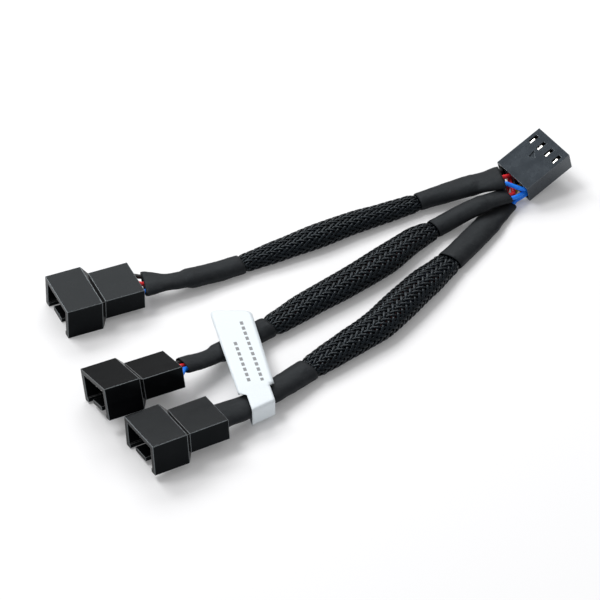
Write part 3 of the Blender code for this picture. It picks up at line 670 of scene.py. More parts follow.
class Branch:
    """A branch's centre line with the sections of its layers, all by distance along the line."""

    def __init__(self, number):
        plan = BRANCHES[number]
        self.number = number
        self.circuits = plan["circuits"]
        self.pitches = plan["pitches"]
        self.mouth_lean = plan["mouth_lean"]
        self.leads = list(zip(plan["socket_leads"], plan["plug_leads"]))
        self.path = smooth_path(plan["route"], BEND_STEP)
        self.marks = [0.0]
        for first, second in zip(self.path, self.path[1:]):
            self.marks.append(self.marks[-1] + (second - first).length)
        self.length = self.marks[-1]
        self.socket_tube = plan["socket_tube"]
        self.plug_tube = [(self.length - back, *size) for back, *size in plan["plug_tube"]]
        self.flare = [(self.length + reach, *size) for reach, *size in plan["flare"]]
        under = SLEEVE_UNDER_TUBE
        at_socket, at_plug = ([(mark, width - under, thickness - under) for mark, width, thickness in layer]
                              for layer in (self.socket_tube[2:], self.plug_tube[:2]))
        self.sleeve = [*at_socket, *plan["sleeve"], *at_plug]
        self.rings = self.ring_marks(plan["sleeve"])

    def ring_marks(self, sleeve):
        """The marks at which the wires turn inside the layers."""
        stations = sorted({station[0] for layer in (self.socket_tube, sleeve, self.plug_tube)
                           for station in layer})
        marks = []
        for start, end in zip(stations, stations[1:]):
            count = max(1, round((end - start) / RING_STEP))
            marks += [start + (end - start) * k / count for k in range(count)]
        return marks + [stations[-1]]

    def at(self, distance):
        """The point of the centre line, which goes on straight beyond both ends."""
        k = next((i for i in range(1, len(self.marks)) if self.marks[i] >= distance), len(self.marks) - 1)
        share = (distance - self.marks[k - 1]) / (self.marks[k] - self.marks[k - 1])
        return self.path[k - 1].lerp(self.path[k], share)

    def frame(self, distance):
        """The centre, the level direction to the far side, and the upward direction square to both."""
        ahead = self.at(distance + BEND_STEP) - self.at(distance - BEND_STEP)
        across = Vector((0.0, 0.0, -1.0)).cross(ahead).normalized()
        return self.at(distance), across, across.cross(ahead).normalized()


def spread(start, end, step):
    """Marks from start to end, about a step apart."""
    count = max(1, round((end - start) / step))
    return [start + (end - start) * k / count for k in range(count + 1)]


def oval(width, thickness, count):
    """Evenly spaced places (side, height) around a flattened oval, each with its way out, and its girth."""
    fine = []
    for k in range(4 * count):
        angle = math.pi * k / (2 * count)
        fine.append(Vector([
            math.copysign(abs(part) ** (2 / SECTION_POWER), part) * size / 2
            for part, size in ((math.cos(angle), width), (math.sin(angle), thickness))]))
    lengths = [(fine[(k + 1) % len(fine)] - fine[k]).length for k in range(len(fine))]
    girth = sum(lengths)
    places, reached, k = [], 0.0, 0
    for n in range(count):
        wanted = girth * n / count
        while reached + lengths[k] < wanted:
            reached += lengths[k]
            k += 1
        places.append(fine[k].lerp(fine[(k + 1) % len(fine)], (wanted - reached) / lengths[k]))
    outward = []
    for n in range(count):
        along = places[(n + 1) % count] - places[n - 1]
        outward.append(Vector((along.y, -along.x)).normalized())
    return places, outward, girth


class Section:
    """The oval section of a layer at one mark, in the row frame."""

    def __init__(self, branch, mark, width, thickness, count=SECTION_SIDES):
        self.centre, self.across, self.up = branch.frame(mark)
        self.places, self.outward, self.girth = oval(width, thickness, count)

    def point(self, share, lift=0.0):
        """The point a share of the way round, lifted off the oval, and its way out."""
        count = len(self.places)
        spot = (share % 1.0) * count
        k = int(spot) % count
        after = (k + 1) % count
        place = self.places[k].lerp(self.places[after], spot - int(spot))
        out = self.outward[k].lerp(self.outward[after], spot - int(spot))
        way = (self.across * out.x + self.up * out.y).normalized()
        return self.centre + self.across * place.x + self.up * place.y + way * lift, way


def skin(bm, rings, closed=False, material=0):
    """Faces between each ring of points and the next, the ends capped, or joined when closed."""
    loops = [[bm.verts.new(point) for point in ring] for ring in rings]
    pairs = list(zip(loops, loops[1:]))
    if closed:
        pairs.append((loops[-1], loops[0]))
    faces = []
    for first, second in pairs:
        for k in range(len(first)):
            after = (k + 1) % len(first)
            faces.append(bm.faces.new((first[k], first[after], second[after], second[k])))
    if not closed:
        faces.append(bm.faces.new(reversed(loops[0])))
        faces.append(bm.faces.new(loops[-1]))
    for face in faces:
        face.material_index = material
        face.smooth = True
    return faces


def mesh_of(bm, name):
    """A mesh whose faces point outwards, made from a bmesh that is then freed."""
    bmesh.ops.recalc_face_normals(bm, faces=bm.faces)
    mesh = bpy.data.meshes.new(name)
    bm.to_mesh(mesh)
    bm.free()
    return mesh


def add_piece(name, data, materials, slot, *nodes):
    """Puts a finished piece in the scene: it rides on the cable and stands for its CAD nodes."""
    obj = bpy.data.objects.new(name, data)
    bpy.context.scene.collection.objects.link(obj)
    for material in materials:
        data.materials.append(material)
    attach(obj, BODY)
    if nodes:
        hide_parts(*nodes)
    return obj


def circuit_offset(circuit):
    """How far a circuit lies across from a connector's middle."""
    return (CIRCUITS.index(circuit) - (len(CIRCUITS) - 1) / 2) * PITCH


def turned(place):
    """The matrix that takes a connector's own frame to the row frame."""
    return Matrix.Translation(place[0]) @ Euler(place[1], "XYZ").to_matrix().to_4x4()


def make_braid(branch, settings, materials):
    """Flat yarns woven two over and two under around the branch, on a core painted dark as shade."""
    marks = spread(branch.sleeve[0][0], branch.sleeve[-1][0], YARN_STEP)
    sections = [Section(branch, mark, *eased(branch.sleeve, mark)) for mark in marks]
    turn = [0.0]
    lanes = []
    for section in sections:
        lean = math.sin(settings.angle) * section.girth / settings.girth
        lean = math.asin(min(STEEPEST_LEAN, lean))
        lanes.append(section.girth / settings.yarns * math.cos(lean) * settings.cover)
        turn.append(turn[-1] + YARN_STEP * math.tan(lean) / section.girth)
    bm = bmesh.new()
    layer = bm.loops.layers.uv.new("UVMap")
    for way in (1, -1):
        for number in range(settings.yarns):
            lay_yarn(bm, layer, sections, turn, lanes, settings, number, way)
    sides = BRAID_CORE_SIDES
    gap = BRAID_CORE_GAP * settings.thickness
    core = [Section(branch, mark, *(size - gap for size in eased(branch.sleeve, mark)), sides)
            for mark in spread(branch.sleeve[0][0], branch.sleeve[-1][0], BRAID_CORE_STEP)]
    skin(bm, [[section.point(k / sides)[0] for k in range(sides)] for section in core], material=1)
    name = f"woven_braid_{branch.number}"
    add_piece(name, mesh_of(bm, name), materials, "braid", f"braided_sleeve_{branch.number}")


def lay_yarn(bm, layer, sections, turn, lanes, settings, number, way):
    """One flat yarn, over two and under two of the yarns that cross it."""
    lift = FLOAT_LIFT * settings.thickness
    middle = -lift - settings.thickness / 2
    sway = noise.noise(Vector((number * SWAY_SEED[0], way * SWAY_SEED[1], SWAY_SEED[2]))) * SWAY
    points, outs = [], []
    for section, turned_by in zip(sections, turn):
        wave = math.cos(math.pi / 2 * (2 * number + way * 2 * settings.yarns * turned_by - 0.5))
        height = way * max(-1.0, min(1.0, FLOAT_FLATNESS * wave))
        share = number / settings.yarns + way * turned_by + sway * math.sin(turned_by * SWAY_TURN + number)
        point, out = section.point(share, middle + lift * height)
        points.append(point)
        outs.append(out)
    rings = []
    for k, (point, out) in enumerate(zip(points, outs)):
        ahead = points[min(k + 1, len(points) - 1)] - points[max(k - 1, 0)]
        side = ahead.cross(out).normalized()
        ring = []
        for n in range(YARN_SIDES):
            angle = 2 * math.pi * n / YARN_SIDES
            ring.append(point + side * (math.cos(angle) * lanes[k] / 2)
                        + out * (math.sin(angle) * settings.thickness / 2))
        rings.append(ring)
    faces = skin(bm, rings)
    lane = number + (settings.yarns if way < 0 else 0)
    shares = [0.5 - 0.5 * math.cos(2 * math.pi * n / YARN_SIDES) for n in range(YARN_SIDES)]
    for index, face in enumerate(faces[:-2]):
        row, column = divmod(index, YARN_SIDES)
        after = (column + 1) % YARN_SIDES
        across = (shares[column], shares[after], shares[after], shares[column])
        for loop, share, far in zip(face.loops, across, (0, 0, 1, 1)):
            loop[layer].uv = (lane + YARN_MAP_EDGE + (1 - 2 * YARN_MAP_EDGE) * share,
                              (row + far) * YARN_STEP * MM_PER_METRE)


def rim_shift(branch, mark, end_mark, point):
    """How a point near a flared end moves ahead, so that the rim lies along the plug's face."""
    share = 1.0 - (end_mark - mark) / RIM_RUN
    if share <= 0.0:
        return Vector()
    face = turned(PLUG_PLACES[branch.number])
    outward = (face.to_3x3() @ Vector((1.0, 0.0, 0.0))).normalized()
    ahead = (branch.at(end_mark) - branch.at(end_mark - BEND_STEP)).normalized()
    rim = point + ahead * (end_mark - mark)
    gap = (rim - face @ Vector((PLUG_LENGTH + RIM_GAP, 0.0, 0.0))).dot(outward)
    return ahead * (share * share * gap / -ahead.dot(outward))


def make_shrink_tube(branch, end, stations, settings, material):
    """A heat shrink tube: drawn down over the wires, stepped over the sleeve's end, softly wrinkled."""
    marks = spread(stations[0][0], stations[-1][0], TUBE_STEP)
    lip = settings.wall * LIP_SHARE
    flared = end == "plug" and branch.flare
    rings, inner = [], []
    for k, mark in enumerate(marks):
        width, thickness = eased(stations, mark)
        edge = lip if k in (0, len(marks) - 1) else 0.0
        outside = Section(branch, mark, width, thickness, TUBE_SIDES)
        ring = []
        for n in range(TUBE_SIDES):
            point, out = outside.point(n / TUBE_SIDES)
            ripple = noise.noise(point * RIPPLE) + FINE_RIPPLE_SHARE * noise.noise(point * FINE_RIPPLE)
            ring.append(point + out * (ripple * settings.wrinkle - edge))
        inside = Section(branch, mark, *(size - 2 * settings.wall for size in (width, thickness)), TUBE_SIDES)
        hollow = [inside.point(n / TUBE_SIDES, edge)[0] for n in range(TUBE_SIDES)]
        if flared:
            ring, hollow = ([point + rim_shift(branch, mark, marks[-1], point) for point in points]
                            for points in (ring, hollow))
        rings.append(ring)
        inner.append(hollow)
    bm = bmesh.new()
    skin(bm, rings + inner[::-1], closed=True)
    name = f"drawn_tube_{branch.number}_{end}"
    add_piece(name, mesh_of(bm, name), [material], "heat_shrink", f"shrink_tube_{branch.number}_{end}_end")


def row_pitch(branch, mark):
    """The spacing of the wires in their row, spread at a tube's end where the tube is wider."""
    at_socket, at_plug = branch.pitches
    pitches = (
        (branch.socket_tube[0][0], at_socket), (branch.socket_tube[1][0], WIRE_PITCH),
        (branch.plug_tube[-2][0], WIRE_PITCH), (branch.plug_tube[-1][0], at_plug),
    )
    return eased(pitches, mark)[0]


def on_row(branch, circuit, mark):
    """A wire's place in its row inside the layers."""
    place = (len(branch.circuits) - 1) / 2 - branch.circuits.index(circuit)
    centre, across, _ = branch.frame(mark)
    return centre + across * (place * row_pitch(branch, mark))


def make_lead(branch, circuit, material):
    """One whole wire, from the socket's crimp through tubes and sleeve to the plug's crimp."""
    layer = (2 - branch.number) * WIRE_PITCH
    socket, plug = turned(SOCKET_PLACE), turned(PLUG_PLACES[branch.number])
    socket_y, plug_y = circuit_offset(circuit), -circuit_offset(circuit)
    in_socket = [socket @ Vector((x, socket_y, SOCKET_AXIS + layer))
                 for x in (TERMINAL_END + FIT_GAP, SOCKET_LENGTH - WIRE_DIAMETER, SOCKET_LENGTH)]
    lean = math.copysign(branch.mouth_lean, plug_y)
    in_plug = [plug @ Vector((x, y, PLUG_AXIS)) for x, y in (
        (PLUG_LENGTH, plug_y - lean), (PLUG_LENGTH - MOUTH_DEPTH, plug_y), (PIN_END + FIT_GAP, plug_y))]
    socket_lead, plug_lead = branch.leads[branch.circuits.index(circuit)]
    row = [on_row(branch, circuit, mark) for mark in (-socket_lead, *branch.rings, branch.length + plug_lead)]
    fan_out = smooth_path([*in_socket, row[0], row[1]], LEAD_STEP, skip_last=1)
    fan_in = smooth_path([row[-2], row[-1], *in_plug], LEAD_STEP, skip_first=1)
    path = fan_out[:-1] + row + fan_in[1:]
    name = f"lead_{branch.number}_{circuit}"
    curve = bpy.data.curves.new(name, "CURVE")
    curve.dimensions = "3D"
    curve.bevel_depth = WIRE_DIAMETER / 2
    curve.bevel_resolution = LEAD_ROUNDNESS
    curve.use_fill_caps = True
    spline = curve.splines.new("POLY")
    spline.points.add(len(path) - 1)
    for point, place in zip(spline.points, path):
        point.co = (*place, 1.0)
    spline.use_smooth = True
    add_piece(name, curve, [material], WIRE_COLOURS[circuit][0], f"wire_{branch.number}_{circuit}")


def block(bm, low, high):
    """A box between two corners."""
    made = bmesh.ops.create_cube(bm, size=1.0)["verts"]
    low, high = Vector(low), Vector(high)
    bmesh.ops.scale(bm, verts=made, vec=high - low)
    bmesh.ops.translate(bm, verts=made, vec=(low + high) / 2)


def beam(bm, start, end, size, middle, axis):
    """A box along X, with a width and height about a middle and an axis."""
    width, height = size
    block(bm, (start, middle - width / 2, axis - height / 2),
          (end, middle + width / 2, axis + height / 2))


def carved(name, body, changes):
    """The body with each tool's mesh added or cut away, as a mesh."""
    target = bpy.data.objects.new(name, mesh_of(body, name))
    bpy.context.scene.collection.objects.link(target)
    tools = []
    for operation, tool in changes:
        helper = bpy.data.objects.new(name + "_tool", mesh_of(tool, name + "_tool"))
        bpy.context.scene.collection.objects.link(helper)
        tools.append(helper)
        modifier = target.modifiers.new(operation, "BOOLEAN")
        modifier.operation = operation
        modifier.object = helper
        modifier.solver = "EXACT"
    bpy.context.view_layer.update()
    done = bpy.data.meshes.new_from_object(target.evaluated_get(bpy.context.evaluated_depsgraph_get()))
    for obj in (*tools, target):
        old = obj.data
        bpy.data.objects.remove(obj)
        bpy.data.meshes.remove(old)
    bm = bmesh.new()
    bm.from_mesh(done)
    bmesh.ops.remove_doubles(bm, verts=bm.verts, dist=MERGE_DISTANCE)
    bmesh.ops.dissolve_limit(bm, angle_limit=FLAT_ANGLE, verts=bm.verts, edges=bm.edges)
    bm.to_mesh(done)
    bm.free()
    done.name = name
    return done


def soften(obj, radius, material=0):
    """Rounds a piece's edges, which take that material, and keeps its faces flat between them."""
    for polygon in obj.data.polygons:
        polygon.use_smooth = True
    bevel = obj.modifiers.new("moulded_edges", "BEVEL")
    bevel.width = radius
    bevel.segments = EDGE_SEGMENTS
    bevel.profile = 0.5
    bevel.limit_method = "ANGLE"
    bevel.angle_limit = EDGE_ANGLE
    bevel.harden_normals = True
    bevel.material = material


def make_socket(settings, materials):
    """The four circuit housing with its windows, ribs and cells."""
    body = bmesh.new()
    block(body, (0.0, -SOCKET_WIDTH / 2, 0.0), (SOCKET_LENGTH, SOCKET_WIDTH / 2, SOCKET_HEIGHT))
    ribs, cells, entries, windows, recess = (bmesh.new() for _ in range(5))
    skin(recess, [[Vector((*corner, z)) for corner in RECESS_CORNERS]
                  for z in (SOCKET_HEIGHT - SOCKET_SKIN / 2, SOCKET_HEIGHT + CUT_OVERRUN)])
    tongue = circuit_offset("supply")
    length, width, height = RIB_SIZE
    for middle in (tongue - RIB_OFFSET, tongue + RIB_OFFSET):
        block(ribs, (RIB_SETBACK, middle - width / 2, -height),
              (RIB_SETBACK + length, middle + width / 2, SOCKET_SKIN / 2))
    for circuit in CIRCUITS:
        y = circuit_offset(circuit)
        beam(entries, -CUT_OVERRUN, 2 * SOCKET_FACE, (PIN_ENTRY, PIN_ENTRY), y, SOCKET_AXIS)
        beam(cells, SOCKET_FACE, SOCKET_LENGTH + CUT_OVERRUN, SOCKET_CELL, y, SOCKET_AXIS)
        start, end = (WINDOW_CENTRE + side * WINDOW_SIZE[0] / 2 for side in (-1, 1))
        block(windows, (start, y - WINDOW_SIZE[1] / 2, SOCKET_AXIS),
              (end, y + WINDOW_SIZE[1] / 2, SOCKET_HEIGHT + CUT_OVERRUN))
    cuts = [("DIFFERENCE", tool) for tool in (cells, entries, windows, recess)]
    mesh = carved("moulded_socket", body, [("UNION", ribs), *cuts])
    mesh.transform(turned(SOCKET_PLACE))
    piece = add_piece("moulded_socket", mesh, materials, "socket_plastic", "socket_housing")
    soften(piece, settings.edge, 1)


def make_contact(circuit, material):
    """A stamped box contact: open at the front, a bright latch in its window, and a crimp on the wires."""
    y = circuit_offset(circuit)
    length, width, height = CONTACT_SIZE
    box_end = TERMINAL_START + length
    crimp_start = TERMINAL_END - CRIMP_SIZE[0]
    body, bore, latch = (bmesh.new() for _ in range(3))
    for tool, start, end, size in (
            (body, TERMINAL_START, box_end, (width, height)),
            (body, box_end - SOLID_OVERLAP, crimp_start + SOLID_OVERLAP, (NECK_SIDE, NECK_SIDE)),
            (body, crimp_start, TERMINAL_END, CRIMP_SIZE[1:]),
            (bore, TERMINAL_START - CUT_OVERRUN, box_end - LATCH_WALL, (PIN_ENTRY, PIN_ENTRY))):
        beam(tool, start, end, size, y, SOCKET_AXIS)
    top = SOCKET_HEIGHT - LATCH_DEPTH
    start = WINDOW_CENTRE - LATCH_START
    end = WINDOW_CENTRE + WINDOW_SIZE[0] / 2 - LATCH_GAP
    foot = SOCKET_AXIS + height / 2 - LATCH_WALL
    left, right = (y + side * LATCH_WIDTH / 2 for side in (-1, 1))
    skin(latch, [[Vector((x, *corner)) for corner in (
        (left, foot), (right, foot), (right, high), (left, high))]
        for x, high in ((start, top), (end, top - LATCH_FALL))])
    name = f"stamped_contact_{circuit}"
    mesh = carved(name, body, (("DIFFERENCE", bore), ("UNION", latch)))
    mesh.transform(turned(SOCKET_PLACE))
    piece = add_piece(name, mesh, [material], "contact_metal", f"socket_terminal_{circuit}")
    soften(piece, STAMPED_EDGE)


def make_plug(number, settings, materials):
    """A shroud, a chamfered shoulder and the narrower core with four cells."""
    shroud_width, shroud_height = SHROUD_SIZE
    body = bmesh.new()
    block(body, (0.0, -shroud_width / 2, 0.0), (SHROUD_DEPTH, shroud_width / 2, shroud_height))
    face = next(face for face in body.faces
                if all(abs(vert.co.x - SHROUD_DEPTH) < FACE_TOLERANCE for vert in face.verts))
    for x in (CORE_START, PLUG_LENGTH):
        made = bmesh.ops.extrude_discrete_faces(body, faces=[face])["faces"][0]
        for vert in made.verts:
            side = math.copysign(CORE_SIZE[0] / 2, vert.co.y)
            top = CORE_LIFT + CORE_SIZE[1] if vert.co.z > PLUG_AXIS else CORE_LIFT
            vert.co = Vector((x, side, top))
        face = made
    cavity, cells, mouths, slots, sides = (bmesh.new() for _ in range(5))
    beam(cavity, -CUT_OVERRUN, SHROUD_DEPTH, SHROUD_INSIDE, 0.0, PLUG_AXIS)
    for circuit in CIRCUITS:
        y = circuit_offset(circuit)
        beam(cells, SHROUD_DEPTH - CUT_OVERRUN, PLUG_LENGTH, PLUG_CELL, y, PLUG_AXIS)
        beam(mouths, PLUG_LENGTH - MOUTH_DEPTH, PLUG_LENGTH + CUT_OVERRUN, MOUTH_SIZE, y, PLUG_AXIS)
    middle = -circuit_offset("supply")
    foot = RIB_OFFSET + RIB_SIZE[1] / 2 + SLIDE_GAP + middle
    slot_end = RIB_SETBACK + RIB_SIZE[0] + SLIDE_GAP
    low, high = -CUT_OVERRUN, SHROUD_SKIN + SOCKET_SKIN
    block(slots, (-CUT_OVERRUN, -foot, low), (TONGUE_SETBACK, foot, high))
    for near, far in ((-foot, middle - TONGUE_WIDTH / 2), (middle + TONGUE_WIDTH / 2, foot)):
        block(sides, (-CUT_OVERRUN, near, low), (slot_end, far, high))
    name = f"moulded_plug_{number}"
    mesh = carved(name, body, [("DIFFERENCE", tool) for tool in (cavity, cells, mouths, slots, sides)])
    mesh.transform(turned(PLUG_PLACES[number]))
    soften(add_piece(name, mesh, materials, "plug_plastic", f"plug_housing_{number}"), settings.edge, 1)


def label_edges(branch):
    """Left and right edge points along the strip: top layer, round the tube, then the bottom layer."""
    centre = Vector((*LOOP_CENTRE, 0.0))
    nearest = min(branch.marks, key=lambda mark: (branch.at(mark).xy - centre.xy).length)
    _, across, _ = branch.frame(nearest)
    tube_way = Euler((0.0, 0.0, LOOP_SKEW)).to_matrix() @ Vector((across.y, -across.x, 0.0))
    near, far = ([Vector((*corner, 0.0)) for corner in pair] for pair in (FLAG_NEAR, FLAG_FAR))
    flag_way = (far[0] - near[0]).normalized()
    lean = flag_way / flag_way.dot(across)
    if tube_way.dot(near[0] - near[1]) < 0.0:
        tube_way = -tube_way
    length = (far[0] - near[0]).length
    top_layer = []
    for distance in (*spread(0.0, FLAG_CORNER, CORNER_STEP), *spread(FLAG_CORNER, length, FLAG_STEP)[1:]):
        left, right = (start.lerp(end, distance / length) for start, end in zip(far, near))
        reach = max(0.0, FLAG_CORNER - distance)
        inset = FLAG_CORNER - math.sqrt(FLAG_CORNER ** 2 - reach ** 2)
        width = (right - left).normalized()
        top_layer.append((left + width * inset, right - width * inset))
    loop = []
    section = [(reach, 0.0, height) for reach, height in LOOP_SECTION]
    for reach, _, height in smooth_path(section, LOOP_STEP):
        middle = centre + lean * (reach / MM_PER_METRE)
        rise = Vector((0.0, 0.0, height / MM_PER_METRE))
        loop.append(tuple(middle + tube_way * (side * LOOP_WIDTH / 2) + rise for side in (1, -1)))
    up_top, up_bottom = Vector((0.0, 0.0, FLAG_TOP)), Vector((0.0, 0.0, FLAG_UNDERSIDE))
    upper = [tuple(point + up_top for point in pair) for pair in top_layer]
    lower = [tuple(point + up_bottom for point in pair) for pair in reversed(top_layer)]
    return upper + loop + lower


def make_label(branch, settings, material):
    """A printed strip folded round the tube and stuck to itself as a flag."""
    edges = label_edges(branch)
    bm = bmesh.new()
    layer = bm.loops.layers.uv.new("UVMap")
    rows = len(edges)
    bmesh.ops.create_grid(bm, x_segments=rows - 1, y_segments=LABEL_COLUMNS, size=0.5, calc_uvs=True)
    lengths = [0.0]
    middles = [(left + right) / 2 for left, right in edges]
    for first, second in zip(middles, middles[1:]):
        lengths.append(lengths[-1] + (second - first).length)
    for vert in bm.verts:
        row = round((vert.co.x + 0.5) * (rows - 1))
        share = vert.co.y + 0.5
        for loop in vert.link_loops:
            loop[layer].uv = (lengths[row] / lengths[-1], share)
        left, right = edges[row]
        vert.co = left.lerp(right, share)
    mesh = mesh_of(bm, "folded_label")
    for polygon in mesh.polygons:
        polygon.use_smooth = True
    piece = add_piece("folded_label", mesh, [material], "label", "label_flag")
    solid = piece.modifiers.new("stock", "SOLIDIFY")
    solid.thickness = settings.thickness
    solid.offset = 0.0


class FANCABLE_OT_view(Operator):
    """Place the camera at the photograph's viewing angle"""

    bl_idname = "fan_cable.view"
    bl_label = "Camera"

    def execute(self, context):
        data = bpy.data.cameras.new("view")
        data.lens = context.scene.fan_cable_stage.lens
        data.sensor_width = SENSOR_WIDTH
        data.clip_start, data.clip_end = CAMERA_RANGE
        camera = bpy.data.objects.new("view", data)
        context.scene.collection.objects.link(camera)
        camera.location = CAMERA_PLACE
        sight = Vector(CAMERA_TARGET) - Vector(CAMERA_PLACE)
        camera.rotation_euler = sight.to_track_quat("-Z", "Y").to_euler()
        context.scene.camera = camera
        return {"FINISHED"}


class FANCABLE_OT_braids(Operator):
    """Weave the three braided sleeves"""

    bl_idname = "fan_cable.braids"
    bl_label = "Braided sleeves"

    def execute(self, context):
        settings = context.scene.fan_cable_braid
        materials = [yarn_finish(settings.colour), core_finish()]
        for number in BRANCHES:
            make_braid(Branch(number), settings, materials)
        return {"FINISHED"}


class FANCABLE_OT_tubes(Operator):
    """Shrink a tube over both ends of each sleeve"""

    bl_idname = "fan_cable.tubes"
    bl_label = "Heat shrink tubes"

    def execute(self, context):
        settings = context.scene.fan_cable_tubes
        material = shrink_finish(settings.colour)
        for number in BRANCHES:
            branch = Branch(number)
            make_shrink_tube(branch, "socket", branch.socket_tube, settings, material)
            make_shrink_tube(branch, "plug", branch.plug_tube + branch.flare, settings, material)
        return {"FINISHED"}


class FANCABLE_OT_leads(Operator):
    """Run the ten insulated wires"""

    bl_idname = "fan_cable.leads"
    bl_label = "Wires"

    def execute(self, context):
        materials = {circuit: insulation_finish("insulation_" + circuit, colour)
                     for circuit, (_, colour) in WIRE_COLOURS.items()}
        for number in BRANCHES:
            branch = Branch(number)
            for circuit in branch.circuits:
                make_lead(branch, circuit, materials[circuit])
        return {"FINISHED"}


class FANCABLE_OT_housings(Operator):
    """Mould the socket and the three plugs"""

    bl_idname = "fan_cable.housings"
    bl_label = "Housings"

    def execute(self, context):
        settings = context.scene.fan_cable_housings
        # The rounded edges take each colour lightened towards white: a painted highlight along the edges.
        make_socket(settings, [nylon_finish("socket_nylon", settings.socket_colour, 0.22, 0.55),
                               nylon_finish("socket_edge", mixed(settings.socket_colour, 0.05), 0.25, 1.0)])
        materials = [nylon_finish("plug_nylon", settings.plug_colour, 0.13, 0.06),
                     nylon_finish("plug_edge", mixed(settings.plug_colour, 0.06), 0.25, 1.0)]
        for number in BRANCHES:
            make_plug(number, settings, materials)
        return {"FINISHED"}


class FANCABLE_OT_contacts(Operator):
    """Plate the socket's terminals and the plugs' pins"""

    bl_idname = "fan_cable.contacts"
    bl_label = "Contacts"

    def execute(self, context):
        tin = tin_finish()
        for circuit in CIRCUITS:
            make_contact(circuit, tin)
        for number, plan in BRANCHES.items():
            for circuit in plan["circuits"]:
                for slot in frame["nodes"][f"plug_{number}_pin_{circuit}"].material_slots:
                    slot.material = tin
        return {"FINISHED"}


class FANCABLE_OT_label(Operator):
    """Fold the label round its branch"""

    bl_idname = "fan_cable.label"
    bl_label = "Label"

    def execute(self, context):
        settings = context.scene.fan_cable_label
        make_label(Branch(LABEL_BRANCH), settings, label_finish(settings.colour))
        return {"FINISHED"}


class FANCABLE_OT_cords(Operator):
    """Gather each sleeved cord's centre line and the pieces that go with it, which are then left unused"""

    bl_idname = "fan_cable.cords"
    bl_label = "Cords"

    def execute(self, context):
        objects = bpy.data.objects
        for number in BRANCHES:
            branch = Branch(number)
            marks = spread(branch.sleeve[0][0], branch.sleeve[-1][0], CORD_STEP)
            path = [tuple(branch.at(mark)) for mark in marks]
            pieces = [objects[f"drawn_tube_{number}_{end}"] for end in ("socket", "plug")]
            pieces += [objects[f"lead_{number}_{circuit}"] for circuit in branch.circuits]
            pieces.append(objects[f"moulded_plug_{number}"])
            pieces += [frame["nodes"][f"plug_{number}_pin_{circuit}"] for circuit in branch.circuits]
            if number == LABEL_BRANCH:
                pieces.append(objects["folded_label"])
            branch.sleeve[-1][0] - branch.sleeve[0][0]
        return {"FINISHED"}


def floor_finish():
    """White floor that keeps the cable's shadow and runs into a white background."""
    finish = Finish("white_floor")
    paper = finish.node("ShaderNodeBsdfDiffuse", {}, {"Color": FLOOR_WHITE})
    white = finish.node("ShaderNodeEmission", {}, {"Color": WHITE, "Strength": 1.0})
    spot = finish.node("ShaderNodeTexCoord", output="Object")
    away = finish.node("ShaderNodeVectorMath", {"operation": "LENGTH"}, {0: spot}, output="Value")
    glow = finish.fade(away, FLOOR_NEAR, FLOOR_FAR, FLOOR_GLOW, 1.0)
    share = finish.rays("Is Camera Ray", "Is Glossy Ray", "Is Transmission Ray") * glow
    surface = finish.node("ShaderNodeMixShader", {}, {0: share, 1: paper, 2: white})
    finish.node("ShaderNodeOutputMaterial", {}, {"Surface": surface})
    return finish.material


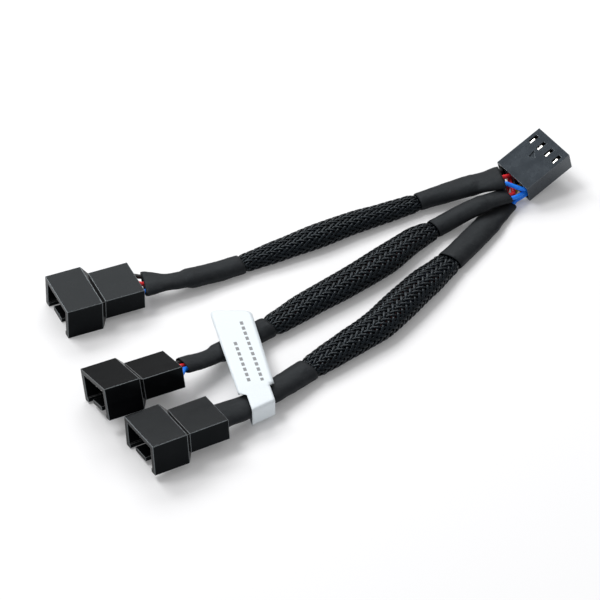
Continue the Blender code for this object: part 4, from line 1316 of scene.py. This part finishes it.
class FANCABLE_OT_stage(Operator):
    """Lay the white floor and hang the lamps"""

    bl_idname = "fan_cable.stage"
    bl_label = "Floor and lights"

    def execute(self, context):
        settings = context.scene.fan_cable_stage
        bm = bmesh.new()
        bmesh.ops.create_grid(bm, x_segments=1, y_segments=1, size=FLOOR_SIZE)
        floor = bpy.data.objects.new("white_floor", mesh_of(bm, "white_floor"))
        floor.data.materials.append(floor_finish())
        context.scene.collection.objects.link(floor)
        for name, (place, size) in LAMPS.items():
            self.hang(name, place, size, getattr(settings, name + "_power"))
        self.light_sky(settings.sky)
        context.scene.view_settings.view_transform = "Standard"
        return {"FINISHED"}

    def hang(self, name, place, size, power):
        data = bpy.data.lights.new(name, "AREA")
        data.shape = "RECTANGLE"
        data.size, data.size_y = size
        data.energy = power
        lamp = bpy.data.objects.new(name, data)
        lamp.location = place
        lamp.rotation_euler = (-Vector(place)).to_track_quat("-Z", "Y").to_euler()
        bpy.context.scene.collection.objects.link(lamp)

    def light_sky(self, strength):
        world = bpy.data.worlds.new("studio")
        bpy.context.scene.world = world
        world.use_nodes = True
        sky = Graph(world.node_tree)
        even, white = (sky.node("ShaderNodeBackground", {}, {"Color": WHITE, "Strength": level})
                       for level in (strength, 1.0))
        share = sky.rays("Is Camera Ray", "Is Transmission Ray")
        sky.node("ShaderNodeOutputWorld", {}, {
            "Surface": sky.node("ShaderNodeMixShader", {}, {0: share, 1: even, 2: white})})


class FANCABLE_PT_panel(Panel):
    """Lists the settings and the operators that build the cable"""

    bl_label = "Fan Splitter Cable"
    bl_idname = "FANCABLE_PT_panel"
    bl_space_type = "VIEW_3D"
    bl_region_type = "UI"
    bl_category = "Fan Cable"

    def draw(self, context):
        for group in SETTINGS:
            box = self.layout.box()
            settings = getattr(context.scene, group)
            for name in settings.bl_rna.properties.keys():
                if name not in {"name", "rna_type"}:
                    box.prop(settings, name)
        for step in STEPS:
            self.layout.operator(step.bl_idname)


SETTINGS = {
    "fan_cable_braid": CableBraidSettings,
    "fan_cable_tubes": CableTubeSettings,
    "fan_cable_housings": CableHousingSettings,
    "fan_cable_label": CableLabelSettings,
    "fan_cable_stage": CableStageSettings,
}
STEPS = (
    FANCABLE_OT_view, FANCABLE_OT_braids, FANCABLE_OT_tubes, FANCABLE_OT_leads, FANCABLE_OT_housings,
    FANCABLE_OT_contacts, FANCABLE_OT_label, FANCABLE_OT_cords, FANCABLE_OT_stage,
)


def register():
    for settings in SETTINGS.values():
        bpy.utils.register_class(settings)
    for cls in (*STEPS, FANCABLE_PT_panel):
        bpy.utils.register_class(cls)
    for group, settings in SETTINGS.items():
        setattr(bpy.types.Scene, group, PointerProperty(type=settings))


def unregister():
    for group in SETTINGS:
        delattr(bpy.types.Scene, group)
    for cls in (FANCABLE_PT_panel, *reversed(STEPS)):
        bpy.utils.unregister_class(cls)
    for settings in SETTINGS.values():
        bpy.utils.unregister_class(settings)


def main():
    register()
    bpy.ops.fan_cable.view()
    bpy.ops.fan_cable.braids()
    bpy.ops.fan_cable.tubes()
    bpy.ops.fan_cable.leads()
    bpy.ops.fan_cable.housings()
    bpy.ops.fan_cable.contacts()
    bpy.ops.fan_cable.label()
    bpy.ops.fan_cable.cords()
    bpy.ops.fan_cable.stage()


if __name__ == "__main__":
    main()
